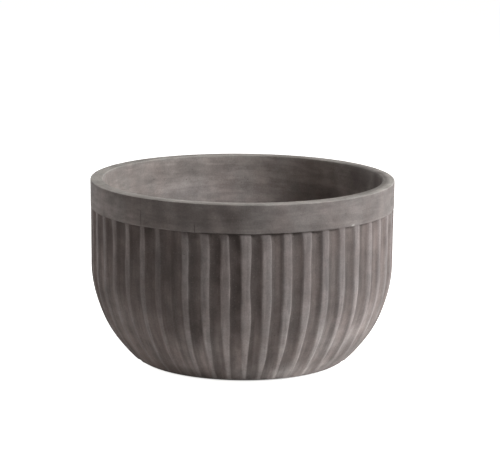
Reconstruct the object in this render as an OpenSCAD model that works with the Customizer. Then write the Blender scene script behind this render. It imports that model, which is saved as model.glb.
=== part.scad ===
// Bowl planter of cast concrete: a smooth collar over a ring of scooped flutes.
// Millimetres, Z up. The bowl turns about the Z axis and stands on z = 0.
// The viewer looks along +Y, and a direction is measured from -Y towards +X.

/* [Bowl] */
// Outside diameter of the rim
rim_d = 400; // [380:2:440]
// Height from the floor to the top of the rim
total_h = 240; // [220:2:280]
// Diameter of the foot, where the curved wall reaches the underside
foot_d = 284; // [270:2:300]
// Height at which the straight upper wall starts to curve in
curve_h = 130; // [116:2:146]
// Thickness of the wall
wall = 17; // [16:0.5:24]
// Thickness of the concrete from the foot ring up to the floor
floor_t = 22; // [20:0.5:30]
// Width of the slope between the floor and the inside wall
floor_slope_w = 14; // [8:1:24]
// Height of the slope between the floor and the inside wall
floor_slope_h = 6.5; // [4:0.5:10]
// Size of the bevel round the lower edge of the foot
heel_bevel = 3; // [1.5:0.5:5]

/* [Collar] */
// Height of the smooth collar under the rim
collar_h = 36; // [26:1:50]
// How far the collar stands proud of the flats between the flutes
collar_step = 0.4; // [0.3:0.1:1.5]
// Radius on the outer edge of the rim
rim_round_out = 1.5; // [0.5:0.5:4]
// Radius on the inner edge of the rim
rim_round_in = 1.5; // [1:0.5:6]

/* [Flutes] */
// Number of flutes round the bowl
flute_count = 48; // [36:2:60]
// Depth of a flute under the collar
flute_depth = 3.5; // [2.5:0.25:6]
// Width of the flat between two flutes under the collar
flat_w = 9; // [6:0.2:12]
// Gap between the collar and the upper ends of the flutes
flute_drop = 0.6; // [0.4:0.1:2]
// Width of each of the two flutes that close the ring, as a share of the others' pitch
closing_share = 0.72; // [0.7:0.01:1]
// Direction of the ridge between those two flutes, in degrees
closing_at = -26.2; // [-180:0.2:180]

/* [Underside] */
// Depth of the hollow inside the foot ring
recess_h = 6; // [3:0.5:8]
// Width of the foot ring
foot_ring_w = 32; // [30:1:38]
// Draft of the hollow's wall, in degrees
recess_draft = 20; // [5:1:30]
// Number of rubber pads under the foot ring
pad_count = 4; // [3:1:4]
// Diameter of a rubber pad
pad_d = 20; // [14:1:22]
// Thickness of a rubber pad
pad_t = 4; // [3:0.5:5]
// How far a pad stands proud of the foot ring
pad_proud = 2; // [1:0.25:2.5]
// Radius on the lower edge of a pad
pad_round = 0.8; // [0.3:0.1:1]
// Gap round a pad in its socket
pad_gap = 0.1; // [0.05:0.05:0.3]

/* [Drain] */
// Diameter of the drain hole
drain_d = 25; // [20:1:32]
// Gap between the plug and the drain hole
plug_gap = 0.3; // [0.3:0.05:0.5]
// How far the plug's flange reaches past the drain hole
flange_reach = 6; // [4:0.5:10]
// Thickness of the plug's flange
flange_t = 4; // [3:0.5:6]
// Taper of the plug's nose, in degrees
nose_taper = 12; // [5:1:20]
// Length of the plug's tapered nose
nose_h = 7; // [4:0.5:9]
// Diameter of the plug's grip
grip_d = 14; // [10:1:18]
// Height of the plug's grip above the flange
grip_h = 13; // [10:1:18]
// Diameter of the cutter for the finger groove round the grip
groove_d = 5; // [3:0.5:6]
// Diameter of the hollow in the plug's underside
hollow_d = 10; // [6:1:14]

/* [Wire cage] */
// Number of bent wires in the cage
wire_count = 12; // [8:4:16]
// Diameter of the cage's wire
wire_d = 2.5; // [2:0.1:3]
// Radius of the bend where a wire turns along the floor
wire_bend = 22; // [12:1:40]
// Depth of the wires' upper ends under the rim
wire_cover = 12; // [8:1:20]
// Gap between a hoop and the wires that it is tied to
tie_gap = 0.3; // [0.25:0.05:0.4]
// Gap between the wire and the concrete round it
cast_gap = 0.08; // [0.06:0.01:0.1]
// Place of the lower hoop along the wall's curve, in degrees
foot_hoop_a = 32; // [24:1:38]

/* [Hidden] */
$fn = 96;
hair = 1; // how far a cutter runs past the surface that it opens
lap_step = 0.05; // a bent bar is this much thinner than the straight one that it laps
scoop_lap = 3; // length that the two share on either side of curve_h, in a scoop
wire_lap = 1; // the same in a wire

rim_r = rim_d / 2;
foot_r = foot_d / 2;
crest_r = rim_r - collar_step; // the flats between the flutes
inner_r = rim_r - wall;
collar_z = total_h - collar_h;
base_z = pad_proud; // underside of the foot ring
floor_z = base_z + floor_t; // top of the concrete floor

// Every wall curve is an arc about the same centre, level with curve_h. The
// outer one starts upright at crest_r and lands on the edge of the foot.
foot_in = crest_r - foot_r;
foot_down = curve_h - base_z;
arc_x = thousandths(crest_r - (foot_in * foot_in + foot_down * foot_down) / (2 * foot_in));
outer_arc = crest_r - arc_x;
inner_arc = inner_r - arc_x;
foot_a = asin(foot_down / outer_arc);

// The flutes are set out by one pitch, and the last two share what is left.
flute_pitch = 360 / (flute_count - 2 + 2 * closing_share);
closing_pitch = closing_share * flute_pitch;

// A flute is a round scoop. It keeps its share of the pitch down to the foot,
// so it gets shallower there, and its path is an arc with a larger radius.
flute_w = 2 * crest_r * sin(flute_pitch / 2) - flat_w;
scoop_r = (flute_w * flute_w / 4 + flute_depth * flute_depth) / (2 * flute_depth);
foot_flute_w = flute_w * foot_r / crest_r;
foot_flute_depth = scoop_r - sqrt(scoop_r * scoop_r - foot_flute_w * foot_flute_w / 4);
scoop_x = crest_r + scoop_r - flute_depth;
scoop_arc = scoop_x - arc_x + (flute_depth - foot_flute_depth) / (1 - cos(foot_a));
scoop_end_a = foot_a + 12;

recess_r = foot_r - foot_ring_w;
recess_top_r = recess_r - recess_h * tan(recess_draft);
foot_flat_r = foot_r - heel_bevel - foot_flute_depth / cos(foot_a);
pad_ring_r = (recess_r + foot_flat_r) / 2;

stem_r = drain_d / 2 - plug_gap;
flange_r = drain_d / 2 + flange_reach;
stem_h = floor_t - recess_h;
nose_end_r = stem_r - nose_h * tan(nose_taper);
hollow_h = stem_h / 2;

// The hoops lie inside the wires, and both lie midway between the inner face
// and the bottom of the flutes.
cage_pitch = wire_d + tie_gap;
cage_mid_r = (inner_r + crest_r - flute_depth) / 2;
wire_r = cage_mid_r + cage_pitch / 2;
hoop_r = cage_mid_r - cage_pitch / 2;
wire_arc = wire_r - arc_x;
hoop_arc = hoop_r - arc_x;
wire_top_z = total_h - wire_cover;
wire_floor_z = (base_z + recess_h + floor_z - cage_pitch) / 2;
wire_a = asin((curve_h - wire_floor_z - wire_bend) / (wire_arc - wire_bend));
bend_x = arc_x + (wire_arc - wire_bend) * cos(wire_a);
wire_end_r = flange_r;

// Radius and height of each hoop, from the rim to the drain hole
rim_hoop_at = [hoop_r, wire_top_z - 2 * wire_d];
waist_hoop_at = [hoop_r, curve_h];
foot_hoop_at = [
    arc_x + hoop_arc * cos(foot_hoop_a), curve_h - hoop_arc * sin(foot_hoop_a)
];
drain_hoop_at = [wire_end_r + wire_d, wire_floor_z + cage_pitch];

// A centre is kept to whole thousandths, so that its arc meets a straight wall
// exactly.
function thousandths(x) = round(x * 1000) / 1000;

// Distance from the axis to a wall arc at height z.
function arc_reach(arc, z) = arc_x + sqrt(arc * arc - (curve_h - z) * (curve_h - z));

function two_digits(n) = n < 10 ? str("0", n) : str(n);
function wire_name(i) = str("cage_wire_", two_digits(i + 1));
function pad_name(i) = str("foot_pad_", i + 1);

concrete = [0.47, 0.43, 0.38];
galvanised = [0.62, 0.64, 0.66];
rubber = [0.14, 0.14, 0.14];

// Half section of the space inside a wall: upright at radius r down to
// curve_h, then along the wall's arc to a flat floor.
module bowl_area(r, floor_level, top) {
    translate([0, curve_h]) square([r, top - curve_h]);
    intersection() {
        translate([arc_x, curve_h]) circle(r - arc_x);
        translate([0, floor_level]) square([r + hair, curve_h - floor_level]);
    }
}

// What lies below the line from p up to q, carried on past both.
module below_line(p, q) {
    extra = (q - p) / 2;
    low = p - extra;
    high = q + extra;
    polygon([low, [high.x, low.y], high]);
}

// Half section of the collar, with both edges of the rim rounded.
module collar_area() {
    out_c = [rim_r - rim_round_out, total_h - rim_round_out];
    in_c = [inner_r + rim_round_in, total_h - rim_round_in];
    polygon([
        [inner_r, collar_z], [rim_r, collar_z], [rim_r, out_c.y], out_c,
        [out_c.x, total_h], [in_c.x, total_h], in_c, [inner_r, in_c.y]
    ]);
    intersection() {
        translate(out_c) circle(rim_round_out);
        translate(out_c) square(rim_round_out);
    }
    intersection() {
        translate(in_c) circle(rim_round_in);
        translate([inner_r, in_c.y]) square(rim_round_in);
    }
}

// Half section of the hollow inside the foot ring.
module recess_area() {
    polygon([
        [0, base_z - hair], [recess_r + hair * tan(recess_draft), base_z - hair],
        [recess_top_r, base_z + recess_h], [0, base_z + recess_h]
    ]);
}

module shell_section() {
    slope_z = floor_z + floor_slope_h;
    bevel_z = base_z + heel_bevel;
    difference() {
        bowl_area(crest_r, base_z, collar_z);
        difference() {
            bowl_area(inner_r, floor_z, collar_z + hair);
            below_line(
                [arc_reach(inner_arc, floor_z) - floor_slope_w, floor_z],
                [arc_reach(inner_arc, slope_z), slope_z]
            );
        }
        below_line(
            [foot_r - heel_bevel, base_z], [arc_reach(outer_arc, bevel_z), bevel_z]
        );
        recess_area();
    }
    collar_area();
}

// Piece of a ring in the XZ plane about c, from one angle below level to
// another.
module arc_bar(r, c, arc, from_a, to_a) {
    translate([c.x, 0, c.y])
        rotate([90, 0, 0])
            rotate([0, 0, -to_a])
                rotate_extrude(angle = to_a - from_a)
                    translate([arc, 0]) circle(r);
}

// Angle that an arc turns through over a length.
function turn(length, arc) = length / arc * 180 / PI;

// Bar in the XZ plane: upright down to curve_h, then round an arc about
// (x, curve_h) to end_a below level. The two pieces lap by a length each way.
module bent_bar(r, x, arc, top, end_a, lap) {
    translate([x + arc, 0, curve_h - lap]) cylinder(r = r, h = top - curve_h + lap);
    arc_bar(r - lap_step, [x, curve_h], arc, -turn(lap, arc), end_a);
}

// Direction of the middle of a scoop. The last two lie on either side of the
// closing ridge, and the others follow on from there.
function scoop_at(i) = i < flute_count - 2
    ? closing_at + closing_pitch + (i + 0.5) * flute_pitch
    : closing_at + (i - flute_count + 1.5) * closing_pitch;

// Every second scoop, starting with the given one.
module scoops(first) {
    for (i = [first:2:flute_count - 1])
        rotate([0, 0, scoop_at(i) - 90])
            bent_bar(
                scoop_r, scoop_x - scoop_arc, scoop_arc,
                collar_z - flute_drop, scoop_end_a, scoop_lap
            );
}

module hoop(at, r) {
    translate([0, 0, at.y])
        rotate_extrude()
            translate([at.x, 0]) circle(r);
}

// One wire of the cage: down the wall, along its curve, and in over the foot
// to the drain hole. Its two ends are extra longer.
module wire_bar(r, extra = 0) {
    bent_bar(
        r, arc_x, wire_arc, wire_top_z + extra, wire_a + turn(wire_lap, wire_arc), wire_lap
    );
    arc_bar(r, [bend_x, wire_floor_z + wire_bend], wire_bend, wire_a, 90);
    translate([wire_end_r - extra, 0, wire_floor_z])
        rotate([0, 90, 0])
            cylinder(r = r - lap_step, h = bend_x + wire_lap - wire_end_r + extra);
}

module at_wire(i) {
    rotate([0, 0, i * 360 / wire_count - 90]) children();
}

module at_pad(i) {
    rotate([0, 0, (i + 0.5) * 360 / pad_count - 90])
        translate([pad_ring_r, 0, 0]) children();
}

module cage_channels() {
    r = wire_d / 2 + cast_gap;
    for (at = [rim_hoop_at, waist_hoop_at, foot_hoop_at, drain_hoop_at]) hoop(at, r);
    for (i = [0:wire_count - 1]) at_wire(i) wire_bar(r, cast_gap);
}

// The bowl before it is fluted.
module plain_bowl() {
    difference() {
        rotate_extrude() shell_section();
        cylinder(d = drain_d, h = floor_z + hair);
        for (i = [0:pad_count - 1])
            at_pad(i) cylinder(d = pad_d + 2 * pad_gap, h = pad_t);
        cage_channels();
    }
}

// Neighbouring scoops cross outside the foot, so they are cut in two turns.
module bowl_shell() {
    color(concrete)
        difference() {
            difference() {
                plain_bowl();
                scoops(0);
            }
            scoops(1);
        }
}

module cage_hoop(at) {
    color(galvanised) hoop(at, wire_d / 2);
}

module cage_wire(i) {
    color(galvanised) at_wire(i) wire_bar(wire_d / 2);
}

module plug_section() {
    nose_z = floor_z - stem_h;
    grip_z = floor_z + flange_t;
    difference() {
        polygon([
            [0, nose_z], [nose_end_r, nose_z], [stem_r, nose_z + nose_h],
            [stem_r, floor_z], [flange_r, floor_z], [flange_r, grip_z],
            [grip_d / 2, grip_z], [grip_d / 2, grip_z + grip_h], [0, grip_z + grip_h]
        ]);
        translate([grip_d / 2 + groove_d / 8, grip_z + grip_h / 2]) circle(d = groove_d);
    }
}

module drain_plug() {
    color(rubber)
        difference() {
            rotate_extrude() plug_section();
            translate([0, 0, floor_z - stem_h - hair])
                cylinder(d = hollow_d, h = hollow_h + hair);
        }
}

module foot_pad(i) {
    pad_r = pad_d / 2;
    round_c = [pad_r - pad_round, pad_round];
    color(rubber)
        at_pad(i)
            rotate_extrude() {
                polygon([
                    [0, 0], [round_c.x, 0], round_c, [pad_r, round_c.y],
                    [pad_r, pad_t], [0, pad_t]
                ]);
                intersection() {
                    translate(round_c) circle(pad_round);
                    translate([round_c.x, 0]) square(pad_round);
                }
            }
}

bowl_shell();
cage_hoop(rim_hoop_at);  // rim_hoop
cage_hoop(waist_hoop_at);  // waist_hoop
cage_hoop(foot_hoop_at);  // foot_hoop
cage_hoop(drain_hoop_at);  // drain_hoop
for (i = [0:wire_count - 1])
    cage_wire(i);
drain_plug();
for (i = [0:pad_count - 1])
    foot_pad(i);
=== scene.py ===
"""Looks of the fluted concrete bowl planter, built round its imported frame.

The bowl's shell is one closed surface worked out with numpy: a fine grid for
the fluted outside and a coarser one for the inside and the underside, sewn
together on the rim and on the foot. The plug is a turned rubber moulding.
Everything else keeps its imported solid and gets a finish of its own.
"""

import logging
import math
from dataclasses import dataclass
from enum import Enum

import bpy
import numpy as np
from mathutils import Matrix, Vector


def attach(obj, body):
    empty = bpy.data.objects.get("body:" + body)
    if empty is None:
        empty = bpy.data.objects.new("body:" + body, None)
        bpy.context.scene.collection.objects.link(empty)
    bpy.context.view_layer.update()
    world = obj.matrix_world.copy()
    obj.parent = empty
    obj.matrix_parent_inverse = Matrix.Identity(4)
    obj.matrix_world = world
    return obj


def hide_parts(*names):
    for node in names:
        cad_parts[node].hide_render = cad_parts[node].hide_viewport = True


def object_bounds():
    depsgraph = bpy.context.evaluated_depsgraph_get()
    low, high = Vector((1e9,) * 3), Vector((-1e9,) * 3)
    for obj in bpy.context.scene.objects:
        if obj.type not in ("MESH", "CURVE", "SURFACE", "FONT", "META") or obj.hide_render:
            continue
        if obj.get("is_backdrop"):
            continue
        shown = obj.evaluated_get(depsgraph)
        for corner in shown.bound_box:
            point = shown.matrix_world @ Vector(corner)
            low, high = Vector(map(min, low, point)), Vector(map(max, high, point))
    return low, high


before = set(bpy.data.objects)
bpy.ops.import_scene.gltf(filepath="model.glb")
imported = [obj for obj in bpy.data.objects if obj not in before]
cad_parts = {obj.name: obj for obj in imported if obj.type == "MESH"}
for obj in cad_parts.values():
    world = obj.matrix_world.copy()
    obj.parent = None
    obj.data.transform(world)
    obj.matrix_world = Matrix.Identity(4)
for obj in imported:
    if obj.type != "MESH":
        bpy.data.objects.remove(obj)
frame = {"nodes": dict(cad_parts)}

LOG = logging.getLogger("planter")
MM = 0.001
Array = np.ndarray
Colour = tuple[float, float, float]
Node = bpy.types.Node
Output = bpy.types.NodeSocket
Outputs = dict[str, Output]
Object = bpy.types.Object


class Body(Enum):
    """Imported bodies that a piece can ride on."""

    BOWL = "bowl"
    PLUG = "plug"


class Slot(Enum):
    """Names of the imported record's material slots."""

    CONCRETE = "concrete"
    PLUG = "plug_rubber"


# ---------------------------------------------------------------- arithmetic


def smooth_step(low: float, high: float | Array, x: Array) -> Array:
    """Goes from 0 at low to 1 at high along a cubic with level ends.

    Args:
        low: Value where the step starts.
        high: Value where the step ends.
        x: Values to map.

    Returns:
        The mapped values, from 0 to 1.
    """
    t = np.clip((x - low) / (high - low), 0.0, 1.0)
    return t * t * (3.0 - 2.0 * t)


def soft_floor(x: Array, blend: Array | float) -> Array:
    """Rounded version of max(x, 0): half of x plus the root of x squared plus blend squared.

    Args:
        x: Values to limit.
        blend: Width of the rounding, in the units of x.

    Returns:
        The limited values, half of blend at x = 0.
    """
    return 0.5 * (x + np.sqrt(x * x + blend * blend))


def bell(x: Array, middle: float, width: float) -> Array:
    """Bell curve: e to the power of minus ((x - middle) / width) squared."""
    return np.exp(-(((x - middle) / width) ** 2))


def half_turns(degrees: Array) -> Array:
    """The same angles in degrees, brought between -180 and 180."""
    return (degrees + 180.0) % 360.0 - 180.0


def turned(r: Array | float, azimuth: Array, z: Array) -> Array:
    """Points (r sin azimuth, -r cos azimuth, z), one line each."""
    return np.stack([r * np.sin(azimuth), -r * np.cos(azimuth), z], -1).reshape(-1, 3)


@dataclass(frozen=True)
class Swell:
    """Change that is greatest at one azimuth and fades as a bell to both sides."""

    middle: float
    half_turn: float
    height: float = 1.0

    def at(self, degrees: Array) -> Array:
        """Height times the bell of the azimuth."""
        return self.height * bell(degrees, self.middle, self.half_turn)


def swells(group: tuple[Swell, ...], degrees: Array) -> Array:
    """Sum of several swells."""
    return sum(swell.at(degrees) for swell in group)


@dataclass(frozen=True)
class Ripple:
    """Smooth seeded unevenness on a wall: a sum of cosine waves.

    Each wave has a whole number of turns round the axis, so the sum closes on
    itself, and any number of turns along the profile. Lift is added to the
    sum, which runs from about -1 to 1, and height multiplies the result.
    """

    seed: int
    waves: int
    turns: tuple[int, int]
    lengths: tuple[float, float]
    height: float = 1.0
    lift: float = 0.0

    def at(self, angle: Array, along: Array) -> Array:
        """Height of the ripple at places on the wall.

        Args:
            angle: Angles round the axis, in radians.
            along: Distances along the profile, in metres.

        Returns:
            Heights, in the units of height.
        """
        rng = np.random.default_rng(self.seed)
        turns = rng.integers(self.turns[0], self.turns[1] + 1, self.waves)
        turns = turns * rng.choice((-1, 1), self.waves)
        lengths = rng.uniform(self.lengths[0], self.lengths[1], self.waves)
        starts = rng.uniform(0.0, 2.0 * math.pi, self.waves)
        total = np.zeros(np.broadcast(angle, along).shape)
        for turn, length, start in zip(turns, lengths, starts):
            total = total + np.cos(turn * angle + along * 2.0 * math.pi / length + start)
        return self.height * (total / math.sqrt(2.0 * self.waves) + self.lift)


# -------------------------------------------------------------------- meshes


def grid_faces(rows: int, columns: int, first: int = 0) -> Array:
    """Quads of a grid that closes on itself round the axis.

    Row i, column j has the number first + i * columns + j. The quad runs
    along the row first, so that rows that climb with columns that turn
    anticlockwise face outwards.

    Args:
        rows: Number of rows of vertices.
        columns: Number of columns of vertices.
        first: Number of the grid's first vertex.

    Returns:
        One line of four vertex numbers for each quad.
    """
    i, j = np.meshgrid(np.arange(rows - 1) * columns, np.arange(columns), indexing="ij")
    k = (j + 1) % columns
    quads = np.stack([i + j, i + k, i + columns + k, i + columns + j], -1)
    return quads.reshape(-1, 4) + first


def seam_faces(fine: Array, coarse: Array, share: int) -> Array:
    """Triangles that sew a fine ring to a coarse one above it.

    Each coarse edge gets share fine edges: the first half of them meet its
    first end, the others its second, and one triangle lies between.

    Args:
        fine: Vertex numbers of the fine ring.
        coarse: Vertex numbers of the coarse ring, share times fewer.
        share: Number of fine edges to one coarse edge.

    Returns:
        One line of three vertex numbers for each triangle.
    """
    step = np.arange(len(fine))
    cell, part = step // share, step % share
    after = fine[(step + 1) % len(fine)]
    owner = np.where(part < share // 2, coarse[cell], coarse[(cell + 1) % len(coarse)])
    fans = np.stack([fine, after, owner], -1)
    ends = np.arange(len(coarse))
    middle = fine[ends * share + share // 2]
    gaps = np.stack([middle, coarse[(ends + 1) % len(coarse)], coarse], -1)
    return np.concatenate([fans, gaps])


def make_mesh(name: str, points: Array, quads: Array, triangles: Array) -> Object:
    """Puts vertices and faces into a new smooth-shaded object at the origin.

    Args:
        name: Name of the object and its mesh.
        points: Vertices, one line of x, y, z each, in metres.
        quads: Faces of four vertex numbers.
        triangles: Faces of three vertex numbers.

    Returns:
        The new object, linked to the scene.
    """
    mesh = bpy.data.meshes.new(name)
    corners = np.concatenate([quads.ravel(), triangles.ravel()]).astype(np.int32)
    sizes = np.repeat([4, 3], [len(quads), len(triangles)]).astype(np.int32)
    starts = (np.cumsum(sizes) - sizes).astype(np.int32)
    mesh.vertices.add(len(points))
    mesh.vertices.foreach_set("co", points.astype(np.float32).ravel())
    mesh.loops.add(len(corners))
    mesh.loops.foreach_set("vertex_index", corners)
    mesh.polygons.add(len(sizes))
    mesh.polygons.foreach_set("loop_start", starts)
    mesh.polygons.foreach_set("loop_total", sizes)
    mesh.polygons.foreach_set("use_smooth", np.ones(len(sizes), dtype=bool))
    mesh.update(calc_edges=True)
    mesh.validate()
    made = bpy.data.objects.new(name, mesh)
    bpy.context.scene.collection.objects.link(made)
    return made


def set_values(made: Object, name: str, values: Array) -> None:
    """Stores one number or one vector for each vertex under a name.

    Args:
        made: Object whose mesh gets the attribute.
        name: Name that the material reads.
        values: One number, or one line of three, for each vertex.
    """
    vector = values.ndim == 2
    kind = "FLOAT_VECTOR" if vector else "FLOAT"
    attribute = made.data.attributes.new(name, kind, "POINT")
    attribute.data.foreach_set("vector" if vector else "value", values.astype(np.float32).ravel())


# -------------------------------------------------------------- shader graphs


class Graph:
    """Short hand for adding and linking shader nodes in one tree."""

    def __init__(self, tree: bpy.types.NodeTree) -> None:
        """Takes the tree that the nodes go into."""
        self.tree = tree

    def add(self, kind: str, **settings: object) -> Node:
        """Adds a node and sets its own options.

        Args:
            kind: Blender's name of the node's type.
            **settings: Options such as operation or data_type.

        Returns:
            The new node.
        """
        node = self.tree.nodes.new(kind)
        for name, value in settings.items():
            setattr(node, name, value)
        return node

    def feed(self, socket: bpy.types.NodeSocket, value: object) -> None:
        """Links a socket to another, or sets its own value.

        Args:
            socket: Input that gets the value.
            value: Output socket, number, colour or vector.
        """
        if isinstance(value, bpy.types.NodeSocket):
            self.tree.links.new(value, socket)
        elif isinstance(value, tuple) and socket.type == "RGBA":
            socket.default_value = (*value, 1.0)
        else:
            socket.default_value = value

    def math(self, operation: str, a: object, b: object = 0.0) -> Output:
        """One arithmetic step on numbers.

        Args:
            operation: Blender's name of the operation.
            a: First number or socket.
            b: Second number or socket.

        Returns:
            Socket with the result.
        """
        node = self.add("ShaderNodeMath", operation=operation)
        self.feed(node.inputs[0], a)
        self.feed(node.inputs[1], b)
        return node.outputs[0]

    def times(self, a: object, b: object) -> Output:
        """Product of two numbers."""
        return self.math("MULTIPLY", a, b)

    def plus(self, a: object, b: object) -> Output:
        """Sum of two numbers."""
        return self.math("ADD", a, b)

    def minus(self, a: object, b: object) -> Output:
        """First number less the second."""
        return self.math("SUBTRACT", a, b)

    def mix(self, share: object, a: object, b: object, blend: str = "MIX") -> Output:
        """Mixes two colours.

        Args:
            share: How much of b, from 0 to 1.
            a: First colour or socket.
            b: Second colour or socket.
            blend: Blender's name of the way of mixing.

        Returns:
            Socket with the mixed colour.
        """
        node = self.add("ShaderNodeMix", data_type="RGBA", blend_type=blend)
        self.feed(node.inputs[0], share)
        self.feed(node.inputs[6], a)
        self.feed(node.inputs[7], b)
        return node.outputs[2]

    def shade(self, colour: object, factor: object) -> Output:
        """Makes a colour brighter or darker.

        Args:
            colour: Socket with the colour.
            factor: Socket with the factor.

        Returns:
            Socket with the new colour.
        """
        node = self.add("ShaderNodeCombineColor")
        for socket in node.inputs:
            self.feed(socket, factor)
        return self.mix(1.0, colour, node.outputs[0], "MULTIPLY")

    def span(
        self, value: object, low: object, high: object, to_low: float = 0.0, to_high: float = 1.0
    ) -> Output:
        """Maps a span of numbers to another, with level ends and limits.

        Args:
            value: Number or socket to map.
            low: Start of the span, a number or a socket.
            high: End of the span, a number or a socket.
            to_low: Result at the start.
            to_high: Result at the end.

        Returns:
            Socket with the mapped number.
        """
        node = self.add("ShaderNodeMapRange", interpolation_type="SMOOTHSTEP")
        for socket, number in zip(node.inputs, (value, low, high, to_low, to_high)):
            self.feed(socket, number)
        return node.outputs[0]

    def between(self, mask: object, low: float, high: float) -> Output:
        """Number that goes from low to high as a mask goes from 0 to 1."""
        return self.span(mask, 0.0, 1.0, low, high)

    def noise(self, place: object, scale: object, detail: float, rough: float = 0.55) -> Output:
        """Cloudy noise from 0 to 1, mostly near a half.

        Args:
            place: Socket with the coordinates, in metres.
            scale: Number of clouds to the metre, or a socket with it.
            detail: Number of finer layers.
            rough: Strength of each finer layer against the last.

        Returns:
            Socket with the noise.
        """
        node = self.add("ShaderNodeTexNoise", noise_dimensions="3D")
        self.feed(node.inputs["Vector"], place)
        self.feed(node.inputs["Scale"], scale)
        self.feed(node.inputs["Detail"], detail)
        self.feed(node.inputs["Roughness"], rough)
        return node.outputs["Fac"]

    def stretch(self, place: object, scale: object, shift: object = (0.0, 0.0, 0.0)) -> Output:
        """Scales and shifts coordinates.

        Args:
            place: Socket with the coordinates.
            scale: Three factors, or a socket.
            shift: Three offsets, or a socket.

        Returns:
            Socket with the new coordinates.
        """
        node = self.add("ShaderNodeMapping")
        self.feed(node.inputs["Vector"], place)
        self.feed(node.inputs["Location"], shift)
        self.feed(node.inputs["Scale"], scale)
        return node.outputs[0]

    def place(self) -> Output:
        """Socket with Object coordinates, in metres."""
        return self.add("ShaderNodeTexCoord").outputs["Object"]

    def stored(self, name: str, vector: bool = False) -> Output:
        """Socket with an attribute that the mesh holds."""
        node = self.add("ShaderNodeAttribute", attribute_name=name)
        return node.outputs["Vector" if vector else "Fac"]


@dataclass(frozen=True)
class Socket:
    """Named input or output of a shader node group."""

    name: str
    kind: str = "NodeSocketFloat"
    value: object = 0.0


class Effect:
    """Shader node group that several finishes share, built once."""

    title = "effect"
    takes: tuple[Socket, ...] = ()
    gives: tuple[Socket, ...] = ()

    @classmethod
    def group(cls) -> bpy.types.NodeTree:
        """Builds the group the first time, and finds it after that.

        Returns:
            The group's node tree.
        """
        if cls.title in bpy.data.node_groups:
            return bpy.data.node_groups[cls.title]
        tree = bpy.data.node_groups.new(cls.title, "ShaderNodeTree")
        for row, side in [(s, "INPUT") for s in cls.takes] + [(s, "OUTPUT") for s in cls.gives]:
            made = tree.interface.new_socket(row.name, in_out=side, socket_type=row.kind)
            if side == "INPUT" and row.kind == "NodeSocketFloat":
                made.default_value = row.value
        graph = Graph(tree)
        start, end = graph.add("NodeGroupInput"), graph.add("NodeGroupOutput")
        results = cls.work(graph, {s.name: start.outputs[s.name] for s in cls.takes})
        for row in cls.gives:
            graph.feed(end.inputs[row.name], results[row.name])
        return tree

    @classmethod
    def work(cls, graph: Graph, given: Outputs) -> Outputs:
        """Adds the group's own nodes.

        Args:
            graph: Graph of the group's tree.
            given: Sockets of the group's inputs by name.

        Returns:
            Sockets of the group's outputs by name.
        """
        raise NotImplementedError

    @classmethod
    def place(cls, graph: Graph, **values: object) -> Node:
        """Puts the group into a finish with values of its own.

        Args:
            graph: Graph of the finish.
            **values: Inputs by name, with _ for a space.

        Returns:
            The group's node.
        """
        node = graph.add("ShaderNodeGroup")
        node.node_tree = cls.group()
        for name, value in values.items():
            graph.feed(node.inputs[name.replace("_", " ")], value)
        return node

    @classmethod
    def mask(cls, graph: Graph, **values: object) -> Output:
        """Socket with the mask of the group, put into a finish with values of its own."""
        return cls.place(graph, **values).outputs["Mask"]


class Clouds(Effect):
    """Soft-edged blotches, as patina and damp leave them."""

    title = "clouds"
    takes = (
        Socket("Place", "NodeSocketVector"),
        Socket("Scale", value=10.0),
        Socket("Edge", value=0.1),
        Socket("Level", value=0.5),
    )
    gives = (Socket("Mask"),)

    @classmethod
    def work(cls, graph: Graph, given: Outputs) -> Outputs:
        """Cloudy noise, cut softly at a level.

        Args:
            graph: Graph of the group's tree.
            given: Place, Scale, Edge and Level.

        Returns:
            Mask, 1 inside a blotch.
        """
        noise = graph.noise(given["Place"], given["Scale"], 5.0, 0.6)
        low = graph.minus(given["Level"], given["Edge"])
        high = graph.plus(given["Level"], given["Edge"])
        return {"Mask": graph.span(noise, low, high)}


class Streaks(Effect):
    """Long thin marks, as a scoop, a trowel or running water leaves them."""

    title = "streaks"
    takes = (
        Socket("Place", "NodeSocketVector"),
        Socket("Stretch", "NodeSocketVector"),
        Socket("Fine", value=1.0),
    )
    gives = (Socket("Mask"), Socket("Height"))
    finer = (3.1, 3.1, 3.1)
    shift = (4.0, 1.0, 7.0)
    edges = (0.32, 0.68)

    @classmethod
    def work(cls, graph: Graph, given: Outputs) -> Outputs:
        """Noise on stretched coordinates: a broad layer and a fine one.

        Args:
            graph: Graph of the group's tree.
            given: Place, Stretch and Fine, the strength of the fine layer.

        Returns:
            Mask from 0 to 1 and Height about a half.
        """
        place = graph.stretch(given["Place"], given["Stretch"])
        broad = graph.noise(place, 1.0, 3.0, 0.5)
        fine = graph.noise(graph.stretch(place, cls.finer, cls.shift), 1.0, 2.0, 0.5)
        height = graph.plus(broad, graph.times(graph.minus(fine, 0.5), given["Fine"]))
        return {"Mask": graph.span(height, *cls.edges), "Height": height}


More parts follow.
